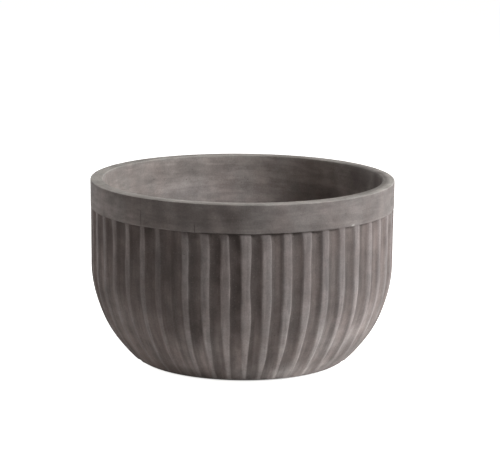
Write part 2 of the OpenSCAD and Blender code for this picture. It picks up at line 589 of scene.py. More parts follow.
class Grain(Effect):
    """Sandy grain with specks of aggregate."""

    title = "grain"
    takes = (Socket("Place", "NodeSocketVector"), Socket("Scale", value=400.0))
    gives = (Socket("Height"), Socket("Speck"))
    cell_scale = 0.9
    choice_scale = 900.0
    rarity = 0.6
    speck_edge = (0.34, 0.18)

    @classmethod
    def work(cls, graph: Graph, given: Outputs) -> Outputs:
        """Fine noise for the grain, and small cells for the specks.

        Args:
            graph: Graph of the group's tree.
            given: Place and Scale, grains to the metre.

        Returns:
            Height about a half, and Speck, 1 on a speck.
        """
        height = graph.noise(given["Place"], given["Scale"], 3.0, 0.6)
        cells = graph.add("ShaderNodeTexVoronoi", feature="F1")
        graph.feed(cells.inputs["Vector"], given["Place"])
        graph.feed(cells.inputs["Scale"], graph.times(given["Scale"], cls.cell_scale))
        own = graph.noise(cells.outputs["Position"], cls.choice_scale, 0.0)
        few = graph.math("GREATER_THAN", own, cls.rarity)
        speck = graph.times(graph.span(cells.outputs["Distance"], *cls.speck_edge), few)
        return {"Height": height, "Speck": speck}


class Pits(Effect):
    """Small round holes that air leaves in a cast face, in loose groups."""

    title = "pits"
    takes = (
        Socket("Place", "NodeSocketVector"),
        Socket("Scale", value=90.0),
        Socket("Radius", value=0.1),
        Socket("Share", value=0.5),
    )
    gives = (Socket("Mask"),)
    choice_scale = 37.0
    core = 0.5

    @classmethod
    def work(cls, graph: Graph, given: Outputs) -> Outputs:
        """A hole near the centre of some cells.

        Args:
            graph: Graph of the group's tree.
            given: Place, Scale in cells to the metre, Radius as a share of a
                cell, and Share, above which a cell's own noise gives a hole.

        Returns:
            Mask, 1 in a hole.
        """
        cells = graph.add("ShaderNodeTexVoronoi", feature="F1")
        graph.feed(cells.inputs["Vector"], given["Place"])
        graph.feed(cells.inputs["Scale"], given["Scale"])
        own = graph.noise(cells.outputs["Position"], cls.choice_scale, 1.0)
        some = graph.math("GREATER_THAN", own, given["Share"])
        inner = graph.times(given["Radius"], cls.core)
        hole = graph.span(cells.outputs["Distance"], given["Radius"], inner)
        return {"Mask": graph.times(hole, some)}


# ------------------------------------------------------------------ finishes


@dataclass(frozen=True)
class Finish:
    """One material: its name and the way to build it."""

    name: str

    def material(self) -> bpy.types.Material:
        """Builds the material the first time, and finds it after that.

        Returns:
            The material.
        """
        if self.name in bpy.data.materials:
            return bpy.data.materials[self.name]
        made = bpy.data.materials.new(self.name)
        made.use_nodes = True
        made.node_tree.nodes.clear()
        graph = Graph(made.node_tree)
        shader = graph.add("ShaderNodeBsdfPrincipled")
        self.fill(graph, shader)
        output = graph.add("ShaderNodeOutputMaterial")
        graph.feed(output.inputs["Surface"], shader.outputs["BSDF"])
        return made

    def fill(self, graph: Graph, shader: Node) -> None:
        """Feeds the shader's sockets.

        Args:
            graph: Graph of the material.
            shader: Its Principled BSDF.
        """
        raise NotImplementedError

    def dress(self, *pieces: Object) -> None:
        """Makes this the only finish of some objects.

        Args:
            *pieces: Objects to dress.
        """
        for piece in pieces:
            piece.data.materials.clear()
            piece.data.materials.append(self.material())


def bump(graph: Graph, shader: Node, height: object, depth: float) -> None:
    """Feeds a shader's normal from a height.

    Args:
        graph: Graph of the material.
        shader: Shader that gets the normal.
        height: Socket with heights of about 0 to 1.
        depth: Real height of one unit, in metres.
    """
    node = graph.add("ShaderNodeBump")
    graph.feed(node.inputs["Height"], height)
    graph.feed(node.inputs["Distance"], depth)
    graph.feed(shader.inputs["Normal"], node.outputs["Normal"])


@dataclass(frozen=True)
class Crack:
    """Hairline in the collar, in a plane through the axis, with its half width and sway."""

    azimuth: float
    width: float
    wander: float


@dataclass(frozen=True)
class ConcreteFinish(Finish):
    """Matt cast concrete with a smoky patina. It carries painted light on the
    rim, low on the belly and inside at the back, and painted shade under the
    collar, in the valleys and inside on the right.

    Each pair of tones gives the brightness where a mask is 0 and where it is 1.
    """

    collar: Colour = (0.214, 0.193, 0.183)
    flute: Colour = (0.172, 0.147, 0.1375)
    crest: Colour = (0.224, 0.200, 0.193)
    inside: Colour = (0.310, 0.281, 0.262)
    # Tone of the rim's top and edges: lighter than the collar, partly as painted light from above.
    rim: Colour = (0.400, 0.383, 0.355)
    under: Colour = (0.260, 0.245, 0.228)
    # Tone of the pale patches, most of which are painted light.
    dust: Colour = (0.448, 0.411, 0.396)
    # Dark tone of patina stains and cracks, and of the painted shade and painted shadow.
    soot_and_painted_shade: Colour = (0.050, 0.039, 0.036)
    chip: Colour = (0.40, 0.385, 0.365)
    rosy: Colour = (1.025, 0.985, 0.985)
    grey: Colour = (0.985, 0.990, 1.000)
    # Brightness of the painted shade on the left side of each valley.
    painted_valley_shade: float = 0.68
    # Painted light from below on the belly, and how much less of it the crests take.
    belly_painted_light: float = 0.45
    crest_belly_painted_light: float = -0.15
    tint_stretch: tuple[float, float, float] = (26.0, 26.0, 13.0)
    tint_shift: tuple[float, float, float] = (0.7, 0.3, 0.9)
    tint_small: float = 75.0
    tint_small_share: float = 0.4
    tint_span: tuple[float, float] = (0.5, 0.9)
    broad_tones: tuple[float, float] = (1.10, 0.86)
    small_tones: tuple[float, float] = (1.09, 0.90)
    upright_tones: tuple[float, float] = (0.87, 1.10)
    level_tones: tuple[float, float] = (0.88, 1.08)
    grain_tones: tuple[float, float] = (0.90, 1.10)
    roughness: float = 0.86
    rough_less: float = 0.1
    rough_more: float = 0.08
    sheen: float = 0.35
    speck_share: float = 0.18
    hole_share: float = 0.4
    crack_share: float = 0.72
    crack_core: float = 0.4
    grain_span: tuple[float, float] = (0.25, 0.75)
    grain_rise: float = 0.30
    mark_rise: float = 0.35
    ridge_outside: float = 0.35
    hole_drop: float = 1.2
    crack_drop: float = 1.5
    relief: float = 0.35 * MM
    cracks: tuple[Crack, ...] = (Crack(-39.1, 0.00058, 0.003), Crack(-17.0, 0.00055, 0.001))

    def fill(self, graph: Graph, shader: Node) -> None:
        """Feeds colour, roughness and relief from the shell's own masks.

        Args:
            graph: Graph of the material.
            shader: Its Principled BSDF.
        """
        place = graph.place()
        flow = graph.stored("flow", vector=True)
        colour = self.tints(graph, place, flow, self.zones(graph))
        colour, marks = self.patina(graph, place, flow, colour)
        crack = self.hairlines(graph, place)
        grain = Grain.place(graph, Place=place, Scale=520.0)
        pits = Pits.mask(graph, Place=place, Scale=120.0, Radius=0.13, Share=0.62)
        fine_pits = Pits.mask(graph, Place=place, Scale=310.0, Radius=0.16, Share=0.58)
        holes = graph.math("MAXIMUM", pits, fine_pits)
        colour = graph.shade(colour, graph.span(grain.outputs["Height"], *self.grain_span, *self.grain_tones))
        # Specks take the inside's tone. Cracks and air holes take the dark tone, which in the air holes is
        # painted shade.
        for mask, share, tone in (
            (grain.outputs["Speck"], self.speck_share, self.inside),
            (holes, self.hole_share, self.soot_and_painted_shade),
            (crack, self.crack_share, self.soot_and_painted_shade),
        ):
            colour = graph.mix(graph.times(mask, share), colour, tone)
        colour = graph.mix(graph.stored("chip"), colour, self.chip)
        graph.feed(shader.inputs["Base Color"], colour)
        rough = graph.between(marks, self.roughness - self.rough_less, self.roughness + self.rough_more)
        graph.feed(shader.inputs["Roughness"], rough)
        graph.feed(shader.inputs["Specular IOR Level"], self.sheen)
        height = graph.times(grain.outputs["Height"], self.grain_rise)
        height = graph.plus(height, graph.times(marks, self.mark_rise))
        height = graph.minus(height, graph.times(holes, self.hole_drop))
        height = graph.minus(height, graph.times(crack, self.crack_drop))
        bump(graph, shader, height, self.relief)

    def zones(self, graph: Graph) -> Output:
        """Colour of each zone of the shell, with painted shade on the valleys' left sides and painted light
        on the belly, the rim and the pale patches.

        Args:
            graph: Graph of the material.

        Returns:
            Socket with the colour.
        """
        colour = graph.mix(graph.stored("fluted"), self.collar, self.flute)
        # Painted shade: darkens the left part of each valley on the front and the right of the bowl.
        colour = graph.shade(colour, graph.between(graph.stored("painted_valley_shade"), 1.0, self.painted_valley_shade))
        colour = graph.mix(graph.stored("crest"), colour, self.crest)
        # Painted light from below: lightens the belly, most near the foot and a little less on the crests.
        gain = graph.plus(graph.times(graph.stored("crest"), self.crest_belly_painted_light), self.belly_painted_light)
        colour = graph.shade(colour, graph.plus(graph.times(graph.stored("belly"), gain), 1.0))
        # The rim's tone is partly painted light from above, and the pale tone is mostly painted light.
        tones = {"under": self.under, "inside": self.inside, "pale": self.dust, "rim": self.rim}
        for mask, tone in tones.items():
            colour = graph.mix(graph.stored(mask), colour, tone)
        return colour

    def tints(self, graph: Graph, place: object, flow: object, colour: object) -> Output:
        """Shifts the colour between a rosy grey and a plain one, in soft clouds.

        Args:
            graph: Graph of the material.
            place: Socket with Object coordinates.
            flow: Socket with the coordinates that follow the wall.
            colour: Socket with the zones' colour.

        Returns:
            Socket with the new colour.
        """
        broad = graph.noise(graph.stretch(flow, self.tint_stretch), 1.0, 3.0, 0.6)
        moved = graph.stretch(place, (1.0, 1.0, 1.0), self.tint_shift)
        small = graph.times(graph.noise(moved, self.tint_small, 3.0, 0.6), self.tint_small_share)
        share = graph.span(graph.plus(broad, small), *self.tint_span)
        return graph.mix(1.0, colour, graph.mix(share, self.rosy, self.grey), "MULTIPLY")

    def patina(self, graph: Graph, place: object, flow: object, colour: object) -> tuple[Output, Output]:
        """Lays blotches and streaks over the zones, then the patina stains and the painted shade and shadow
        of the dark mask.

        Args:
            graph: Graph of the material.
            place: Socket with Object coordinates.
            flow: Socket with the coordinates that follow the wall.
            colour: Socket with the zones' colour.

        Returns:
            Sockets with the colour and with the marks' height.
        """
        broad = Clouds.mask(graph, Place=place, Scale=13.0, Edge=0.16, Level=0.5)
        small = Clouds.mask(graph, Place=place, Scale=46.0, Edge=0.2, Level=0.5)
        upright = Streaks.place(graph, Place=flow, Stretch=(120.0, 120.0, 11.0), Fine=0.5)
        level = Streaks.place(graph, Place=flow, Stretch=(13.0, 13.0, 75.0), Fine=0.6)
        fluted, inside = graph.stored("fluted"), graph.stored("inside")
        colour = graph.shade(colour, graph.between(broad, *self.broad_tones))
        colour = graph.shade(colour, graph.between(small, *self.small_tones))
        up_tone = graph.between(upright.outputs["Mask"], *self.upright_tones)
        level_tone = graph.between(level.outputs["Mask"], *self.level_tones)
        plain = graph.minus(1.0, fluted)
        colour = graph.shade(colour, graph.plus(graph.times(up_tone, fluted), graph.times(level_tone, plain)))
        # Patina stains, and painted shade and shadow: under the collar, at the flutes' tops and inside on the
        # right.
        colour = graph.mix(graph.stored("stain_and_painted_shade"), colour, self.soot_and_painted_shade)
        ridge = graph.times(level.outputs["Height"], graph.plus(inside, self.ridge_outside))
        groove = graph.times(upright.outputs["Height"], fluted)
        return colour, graph.plus(ridge, groove)

    def hairlines(self, graph: Graph, place: object) -> Output:
        """Mask of the cracks: near their planes, where the shell marks them.

        Args:
            graph: Graph of the material.
            place: Socket with Object coordinates.

        Returns:
            Socket with the mask.
        """
        sway = graph.minus(graph.noise(place, 45.0, 3.0), 0.5)
        mask = 0.0
        for crack in self.cracks:
            turn = math.radians(crack.azimuth)
            dot = graph.add("ShaderNodeVectorMath", operation="DOT_PRODUCT")
            graph.feed(dot.inputs[0], place)
            graph.feed(dot.inputs[1], (math.cos(turn), math.sin(turn), 0.0))
            off = graph.plus(dot.outputs["Value"], graph.times(sway, crack.wander))
            line = graph.span(graph.math("ABSOLUTE", off), crack.width, self.crack_core * crack.width)
            mask = graph.math("MAXIMUM", mask, line)
        return graph.times(mask, graph.stored("crack"))


@dataclass(frozen=True)
class RubberFinish(Finish):
    """Matt moulded rubber with a bloom of dust."""

    colour: Colour = (0.030, 0.030, 0.031)
    dust: Colour = (0.19, 0.175, 0.155)
    dusty: float = 0.3
    roughness: float = 0.62
    dusty_roughness: float = 0.85
    relief: float = 0.05 * MM

    def fill(self, graph: Graph, shader: Node) -> None:
        """Feeds a dark colour with dust in soft blotches.

        Args:
            graph: Graph of the material.
            shader: Its Principled BSDF.
        """
        place = graph.place()
        cloud = Clouds.mask(graph, Place=place, Scale=85.0, Edge=0.18, Level=0.5)
        grain = Grain.place(graph, Place=place, Scale=1500.0)
        share = graph.times(cloud, self.dusty)
        colour = graph.mix(share, self.colour, self.dust)
        colour = graph.mix(graph.times(grain.outputs["Speck"], self.dusty), colour, self.dust)
        graph.feed(shader.inputs["Base Color"], colour)
        graph.feed(shader.inputs["Roughness"], graph.between(cloud, self.roughness, self.dusty_roughness))
        bump(graph, shader, grain.outputs["Height"], self.relief)


@dataclass(frozen=True)
class GalvanisedFinish(Finish):
    """Dull zinc on drawn wire, with pale bloom and a little cement on it."""

    zinc: Colour = (0.50, 0.52, 0.54)
    bloom: Colour = (0.62, 0.63, 0.62)
    cement: Colour = (0.30, 0.28, 0.26)
    metallic: float = 0.95
    roughness: float = 0.38
    bloom_roughness: float = 0.6
    relief: float = 0.03 * MM

    def fill(self, graph: Graph, shader: Node) -> None:
        """Feeds spangled zinc, bloom and cement.

        Args:
            graph: Graph of the material.
            shader: Its Principled BSDF.
        """
        place = graph.place()
        bloom = Clouds.mask(graph, Place=place, Scale=160.0, Edge=0.12, Level=0.52)
        cement = Clouds.mask(graph, Place=place, Scale=60.0, Edge=0.05, Level=0.6)
        grain = Grain.place(graph, Place=place, Scale=2200.0)
        colour = graph.mix(bloom, self.zinc, self.bloom)
        graph.feed(shader.inputs["Base Color"], graph.mix(cement, colour, self.cement))
        graph.feed(shader.inputs["Metallic"], graph.between(cement, self.metallic, 0.0))
        graph.feed(shader.inputs["Roughness"], graph.between(bloom, self.roughness, self.bloom_roughness))
        bump(graph, shader, grain.outputs["Height"], self.relief)


@dataclass(frozen=True)
class FloorFinish(Finish):
    """Pale studio floor, burnt out to white for the camera as a sweep is."""

    colour: Colour = (0.82, 0.82, 0.81)
    roughness: float = 0.9
    glow: float = 0.085
    seen_glow: float = 1.2
    shade_r: float = 0.126
    light_r: float = 0.141

    def fill(self, graph: Graph, shader: Node) -> None:
        """Feeds a pale colour and a steady glow, stronger for the camera.

        The stronger glow starts at the bowl's foot, so that the gap under the
        foot stays dark.

        Args:
            graph: Graph of the material.
            shader: Its Principled BSDF.
        """
        seen = graph.add("ShaderNodeLightPath").outputs["Is Camera Ray"]
        place = graph.place()
        away = graph.add("ShaderNodeVectorMath", operation="LENGTH")
        graph.feed(away.inputs[0], place)
        clear = graph.span(away.outputs["Value"], self.shade_r, self.light_r)
        seen = graph.times(seen, clear)
        graph.feed(shader.inputs["Base Color"], self.colour)
        graph.feed(shader.inputs["Roughness"], self.roughness)
        graph.feed(shader.inputs["Emission Color"], self.colour)
        graph.feed(shader.inputs["Emission Strength"], graph.between(seen, self.glow, self.seen_glow))


# --------------------------------------------------------------- bowl's shell

OUT, IN, UP, DOWN = (1.0, 0.0), (-1.0, 0.0), (0.0, 1.0), (0.0, -1.0)


@dataclass(frozen=True)
class Profile:
    """Points of a profile with what lies on them: way out, scoop's share and depth."""

    r: Array
    z: Array
    out_r: Array
    out_z: Array
    scoop: Array
    depth: Array

    def along(self) -> Array:
        """Distance of each point from the first one along the profile, in metres."""
        return np.append(0.0, np.cumsum(np.hypot(np.diff(self.r), np.diff(self.z))))


class Pen:
    """Writes a profile down point by point."""

    def __init__(self) -> None:
        """Starts with no points."""
        self.rows: list[tuple[float, ...]] = []

    def put(
        self, r: float, z: float, out: tuple[float, float], scoop: float = 0.0, depth: float = 0.0
    ) -> None:
        """Adds a point with its outward direction, the scoop's share and the scoop's depth."""
        self.rows.append((float(r), float(z), *out, scoop, depth))

    def profile(self) -> Profile:
        """All points so far as arrays."""
        return Profile(*np.array(self.rows).T)


class Zone(Enum):
    """Parts of the shell that a patch keeps to."""

    OUTSIDE = "outside"
    INSIDE = "inside"
    FLUTES = "flutes"
    VALLEYS = "valleys"
    CRESTS = "crests"


@dataclass(frozen=True)
class Patch:
    """Soft patch that darkens or lightens the shell at an azimuth and a height; its table says what it stands
    for.
    """

    azimuth: float
    height: float
    half_turn: float
    half_height: float
    strength: float

    def cover(self, degrees: Array, z: Array, edge: Array) -> Array:
        """How far the patch covers places on the shell.

        It is a bell of the azimuth times a bell of the height, times e to the
        power of edge, cut at 1.

        Args:
            degrees: Azimuths of the places.
            z: Their heights.
            edge: Ripple that moves the patch's edge about.

        Returns:
            Covers from 0 to strength.
        """
        turn = half_turns(degrees - self.azimuth) / self.half_turn
        rise = (z - self.height) / self.half_height
        return self.strength * np.clip(np.exp(edge - turn**2 - rise**2), 0.0, 1.0)


@dataclass(frozen=True)
class Chip:
    """Small knock on the lower edge of the collar that shows pale concrete."""

    azimuth: float
    height: float
    half_wide: float
    half_high: float

    EDGE = (1.15, 0.75)

    def cover(self, degrees: Array, z: Array, edge: Array, reach: float) -> Array:
        """Where the knock lies: an ellipse with a soft and ragged edge.

        Args:
            degrees: Azimuths of the places.
            z: Their heights.
            edge: Ripple that moves the knock's edge about.
            reach: Distance of the collar from the axis.

        Returns:
            Covers from 0 to 1.
        """
        wide = (degrees - self.azimuth) * math.pi / 180.0 * reach / self.half_wide
        high = (z - self.height) / self.half_high
        return smooth_step(*self.EDGE, np.hypot(wide, high) + edge)


@dataclass
class BowlShell:
    """The cast concrete bowl: fluted wall, collar, inside and underside.

    Sizes are in metres and angles in degrees. Azimuth 0 faces the viewer and
    grows towards the viewer's right. The last two flutes close the ring.
    Swells of the flats are measured from the azimuth called widest. A pair
    called fade or span gives both ends of a mask's smooth step, and those of
    the rim are measured down from its top. FLUTE_ENDS gives distances down
    from the flutes' upper end, each with the scoop's share there. ARRIS gives
    the columns round an edge, in millimetres from it.
    """

    rim_r: float = 0.2
    total_h: float = 0.24
    foot_r: float = 0.142
    curve_h: float = 0.13
    wall: float = 0.017
    floor_t: float = 0.022
    floor_slope_w: float = 0.014
    floor_slope_h: float = 0.0065
    heel_bevel: float = 0.003
    heel_scoop: float = 0.45
    collar_h: float = 0.036
    collar_step: float = 0.0004
    rim_round_out: float = 0.0015
    rim_round_in: float = 0.0015
    flute_count: int = 48
    flute_depth: float = 0.0035
    flute_drop: float = 0.0006
    flat_w: float = 0.009
    foot_flute_depth: float = 0.00164
    scoop_power: float = 2.6
    foot_flat: float = 0.62
    base_z: float = 0.002
    recess_h: float = 0.006
    foot_ring_w: float = 0.032
    recess_draft: float = 20.0
    drain_d: float = 0.025
    pad_count: int = 4
    socket_r: float = 0.0101
    socket_top: float = 0.004
    socket_slack: float = 0.0002
    least_chord: float = 0.0007
    inset: float = 0.0001

    closing_azimuth: float = -26.2
    closing_share: float = 0.72
    closing_depth: float = 0.75
    closing_wide: float = 0.003
    closing_thin: float = 0.0008
    closing_drop: float = 0.0021
    crest_spread: float = 0.12
    crest_drift: tuple[Swell, ...] = (Swell(-43.0, 14.0, 0.6), Swell(34.0, 34.0, -0.5))

    widest: float = 8.0
    flat_share: float = 0.8
    flat_spread: float = 0.08
    flat_swell: Swell = Swell(0.0, 36.0, 0.34)
    flat_shift: tuple[Swell, ...] = (Swell(26.0, 34.0, 0.26), Swell(-50.0, 16.0, -0.3))
    foot_pinch: Swell = Swell(34.0, 26.0, -0.37)
    slender: Swell = Swell(-56.0, 22.0)
    slender_pinch: float = 0.38
    taper_share: float = 0.92
    slender_rise: float = 0.3
    least_half_flat: float = 0.00105
    edge_sway: Ripple = Ripple(12, 14, (20, 90), (0.06, 0.2), 0.00055)
    edge_shiver: Ripple = Ripple(13, 16, (60, 200), (0.012, 0.035), 0.00006)
    edge_apart: float = 0.011
    lean: float = 0.0034
    lean_length: float = 0.009
    even_above: float = 0.002
    even_margin: float = 0.006

    depth_spread: float = 0.05
    least_depth: float = 0.0005
    arris_round: float = 0.0011
    arris_wear: Ripple = Ripple(15, 18, (30, 160), (0.03, 0.12), 0.4)
    wear_limits: tuple[float, float] = (0.4, 2.0)
    crest_drop: float = 0.00012
    crest_core: float = 0.003
    crest_edge: float = 0.0095
    drop_gain: float = 0.25

    neck_depth: float = 0.0013
    neck_height: float = 0.0016
    neck_base: float = 0.55
    neck_most: float = 1.2
    neck_cut: Ripple = Ripple(19, 18, (8, 70), (0.3, 0.9), 0.6)
    neck_back: float = 0.35
    neck_front: Swell = Swell(0.0, 24.0, 0.65)
    front: float = 2.0

    stray_broad: Ripple = Ripple(17, 12, (2, 9), (0.12, 0.5), 0.00008, 1.6)
    stray_local: Ripple = Ripple(18, 20, (12, 44), (0.02, 0.09), 0.00004, 1.5)
    collar_sag: Ripple = Ripple(20, 12, (5, 40), (0.2, 0.6), 0.00035)
    sag_height: float = 0.0016
    trowel: Ripple = Ripple(23, 22, (1, 5), (0.009, 0.03), 0.00012, 1.5)
    lumps: Ripple = Ripple(24, 16, (3, 16), (0.04, 0.2), 0.00018, 1.6)

    crest_from: float = 0.0003
    crest_blur: tuple[float, float] = (0.30, 0.55)
    least_blur: float = 0.0002
    rim_fade: tuple[float, float] = (0.0011, 0.0002)
    rim_fade_in: tuple[float, float] = (0.0022, 0.0006)
    rim_middle: float = 0.19
    # Painted shade in the valleys: its span across a valley, in shares of the half width, and its fade round
    # the bowl, in degrees.
    painted_valley_shade_span: tuple[float, float] = (-1.0, 0.6)
    painted_valley_shade_fade: tuple[float, float] = (-45.0, -15.0)
    # Where the painted light from below lies: the heights where it starts and where it is full, and how
    # ragged its edge is.
    belly_fade: tuple[float, float] = (0.115, 0.035)
    belly_ragged: float = 0.012
    ragged: Ripple = Ripple(31, 24, (4, 40), (0.02, 0.12), 0.35)
    smooth_inside: float = 0.8
    # Painted shadow line under the collar's edge: its darkness, half turn in degrees, drop below the collar
    # and height.
    painted_shadow_line: float = 0.97
    line_half_turn: float = 36.0
    line_drop: float = 0.0008
    line_height: float = 0.0014
    crack_side: float = -90.0
    crack_tall: float = -28.0
    crack_short: float = 0.008
    crack_faint: float = 0.6
    crack_fade: tuple[float, float] = (0.214, 0.228)
    seed: int = 11

    ARRIS = (-0.9, -0.3, 0.3, 1.0)
    SCOOP_SAMPLES = 7
    FLAT_SAMPLES = 3
    SHARE = 4
    ARC_ROWS = 37
    WALL_ROWS = 20
    COLLAR_ROWS = 6
    LINING_WALL_ROWS = 26
    LINING_ARC_ROWS = 30
    FLOOR_ROWS = 8
    ROOF_ROWS = 6
    SHORT_SIDE = (0.08, 0.5, 0.92)
    SLOPE_OUT = (-0.4, 0.92)
    RECESS_OUT = (-0.94, -0.34)
    LIP_UP = (-0.7, 0.7)
    LIP_DOWN = (-0.7, -0.7)
    FLUTE_ENDS = (
        (0.0012, 1.0), (0.0005, 0.95), (0.0002, 0.8), (0.00005, 0.4), (-0.00003, 0.1), (-0.0002, 0.0),
    )
    SOCKET_ROWS = slice(1, 5)

    def __post_init__(self) -> None:
        """Works out the sizes that follow from the others."""
        self.crest_r = self.rim_r - self.collar_step
        self.inner_r = self.rim_r - self.wall
        self.collar_z = self.total_h - self.collar_h
        self.floor_z = self.base_z + self.floor_t
        self.roof_z = self.base_z + self.recess_h
        self.heel_r = self.foot_r - self.heel_bevel
        foot_in, foot_down = self.crest_r - self.foot_r, self.curve_h - self.base_z
        self.arc_x = self.crest_r - (foot_in**2 + foot_down**2) / (2.0 * foot_in)
        self.outer_arc = self.crest_r - self.arc_x
        self.inner_arc = self.inner_r - self.arc_x
        self.foot_a = math.asin(foot_down / self.outer_arc)
        self.recess_r = self.foot_r - self.foot_ring_w
        self.recess_top_r = self.recess_r - self.recess_h * math.tan(math.radians(self.recess_draft))
        foot_flat_r = self.heel_r - self.foot_flute_depth / math.cos(self.foot_a)
        self.pad_ring_r = 0.5 * (self.recess_r + foot_flat_r)
        self.per_flute = self.FLAT_SAMPLES + 2 * len(self.ARRIS) + self.SCOOP_SAMPLES
        self.columns = self.flute_count * self.per_flute
        self.rng = np.random.default_rng(self.seed)

    # ---- profiles

    def reach(self, arc: float, z: float) -> float:
        """Distance from the axis to a wall arc at height z."""
        return self.arc_x + float(np.sqrt(arc**2 - (self.curve_h - z) ** 2))

    def on_arc(self, arc: float, a: float) -> tuple[float, float]:
        """Point of a wall arc: (arc_x + arc cos a, curve_h - arc sin a)."""
        return self.arc_x + arc * math.cos(a), self.curve_h - arc * math.sin(a)

    def outer_rows(self) -> Profile:
        """Profile of the outside, from the foot ring's inner edge to the rim.

        The wall's arc runs from the foot to a = 0, and its outward direction
        is (cos a, -sin a). A scoop grows shallower from flute_depth at a = 0
        to foot_flute_depth at the foot, with 1 less the cosine of a.

        Returns:
            The rows, each with its scoop share and its full scoop depth.
        """
        pen = Pen()
        low, span = self.foot_flute_depth, self.socket_r
        sockets = (self.pad_ring_r + share * span for share in (-1.0, -0.99, 0.99, 1.0))
        for r in (self.recess_r, *sockets, self.heel_r - 0.003, self.heel_r - 0.0005, self.heel_r):
            pen.put(r, self.base_z, DOWN, 0.0, low)
        bevel_z = self.base_z + self.heel_bevel
        bevel_a = math.asin((self.curve_h - bevel_z) / self.outer_arc)
        mid_r = 0.5 * (self.heel_r + self.reach(self.outer_arc, bevel_z))
        bevel_out = (math.cos(bevel_a), -math.sin(bevel_a))
        pen.put(mid_r, 0.5 * (self.base_z + bevel_z), bevel_out, self.heel_scoop, low)
        fall = 1.0 - math.cos(self.foot_a)
        for a in np.linspace(bevel_a, 0.0, self.ARC_ROWS):
            depth = self.flute_depth - (self.flute_depth - low) * (1.0 - math.cos(a)) / fall
            pen.put(*self.on_arc(self.outer_arc, a), (math.cos(a), -math.sin(a)), 1.0, depth)
        end = self.collar_z - self.flute_drop
        for z in np.linspace(self.curve_h, end - 0.0028, self.WALL_ROWS)[1:]:
            pen.put(self.crest_r, z, OUT, 1.0, self.flute_depth)
        for down, share in self.FLUTE_ENDS:
            pen.put(self.crest_r, end - down, OUT, share, self.flute_depth)
        rim, top = self.rim_r - self.inset, self.total_h - self.rim_round_out
        pen.put(self.crest_r, self.collar_z - 0.00005, OUT)
        pen.put(rim - 0.00025, self.collar_z, OUT)
        collar = np.linspace(self.collar_z + 0.007, top - 0.004, self.COLLAR_ROWS)
        for z in (*(self.collar_z + up for up in (0.0003, 0.001, 0.003)), *collar, top - 0.001):
            pen.put(rim, z, OUT)
        for a in np.radians((0.0, 30.0, 60.0, 90.0)):
            r = rim - self.rim_round_out * (1.0 - math.cos(a))
            pen.put(r, top + self.rim_round_out * math.sin(a), (math.cos(a), math.sin(a)))
        for back in (0.001, 0.004):
            pen.put(rim - self.rim_round_out - back, self.total_h, UP)
        return pen.profile()

    def inner_rows(self) -> Profile:
        """Profile of the inside and the underside, from the rim to the recess.

        The inner wall is upright down to curve_h and then follows an arc
        about the same centre as the outer one. Directions point out of the
        concrete.

        Returns:
            The rows, with no scoops.
        """
        pen = Pen()
        top, edge, hole = self.total_h, self.inner_r + self.rim_round_in, 0.5 * self.drain_d
        for back in (0.0045, 0.001):
            pen.put(edge + back, top, UP)
        for a in np.radians((0.0, 22.5, 45.0, 67.5, 90.0)):
            z = top - self.rim_round_in * (1.0 - math.cos(a))
            pen.put(edge - self.rim_round_in * math.sin(a), z, (-math.sin(a), math.cos(a)))
        for z in np.linspace(top - self.rim_round_in, self.curve_h, self.LINING_WALL_ROWS)[1:]:
            pen.put(self.inner_r, z, IN)
        slope_z = self.floor_z + self.floor_slope_h
        slope_a = math.asin((self.curve_h - slope_z) / self.inner_arc)
        for a in np.linspace(0.0, slope_a, self.LINING_ARC_ROWS)[1:]:
            pen.put(*self.on_arc(self.inner_arc, a), (-math.cos(a), math.sin(a)))
        low_r = self.reach(self.inner_arc, self.floor_z) - self.floor_slope_w
        high_r = self.reach(self.inner_arc, slope_z)
        for t in self.SHORT_SIDE:
            pen.put(high_r + (low_r - high_r) * t, slope_z - self.floor_slope_h * t, self.SLOPE_OUT)
        floor = np.linspace(low_r - 0.012, hole + 0.009, self.FLOOR_ROWS)
        for r in (low_r, low_r - 0.002, *floor, hole + 0.002, hole + 0.0006):
            pen.put(r, self.floor_z, UP)
        pen.put(hole + 0.0001, self.floor_z - 0.0001, self.LIP_UP)
        for z in (self.floor_z - 0.0006, 0.5 * (self.floor_z + self.roof_z), self.roof_z + 0.0006):
            pen.put(hole, z, IN)
        pen.put(hole + 0.0001, self.roof_z + 0.0001, self.LIP_DOWN)
        roof = np.linspace(hole + 0.015, self.recess_top_r - 0.006, self.ROOF_ROWS)
        for r in (hole + 0.0006, hole + 0.003, *roof, self.recess_top_r - 0.001):
            pen.put(r, self.roof_z, DOWN)
        for t in self.SHORT_SIDE:
            r = self.recess_top_r + (self.recess_r - self.recess_top_r) * t
            pen.put(r, self.roof_z - self.recess_h * t, self.RECESS_OUT)
        return pen.profile()

    # ---- flutes

    def crest_angles(self) -> Array:
        """Azimuths of the crests, in radians, starting after the closing pair.

        The pattern was laid out by hand: every flute has the same pitch,
        except the two that close the ring, which share what is left. Each
        crest strays by about crest_spread, and groups of them by crest_drift.

        Returns:
            One azimuth for each crest, growing.
        """
        pitch = 2.0 * math.pi / (self.flute_count - 2 + 2.0 * self.closing_share)
        closing = self.closing_share * pitch
        first = math.radians(self.closing_azimuth) + closing
        angles = first + pitch * np.arange(self.flute_count)
        angles[-1] = first + 2.0 * math.pi - closing
        angles[:-1] += self.rng.normal(0.0, math.radians(self.crest_spread), self.flute_count - 1)
        drift = swells(self.crest_drift, half_turns(np.degrees(angles)))
        angles[:-1] += np.radians(drift[:-1])
        return angles

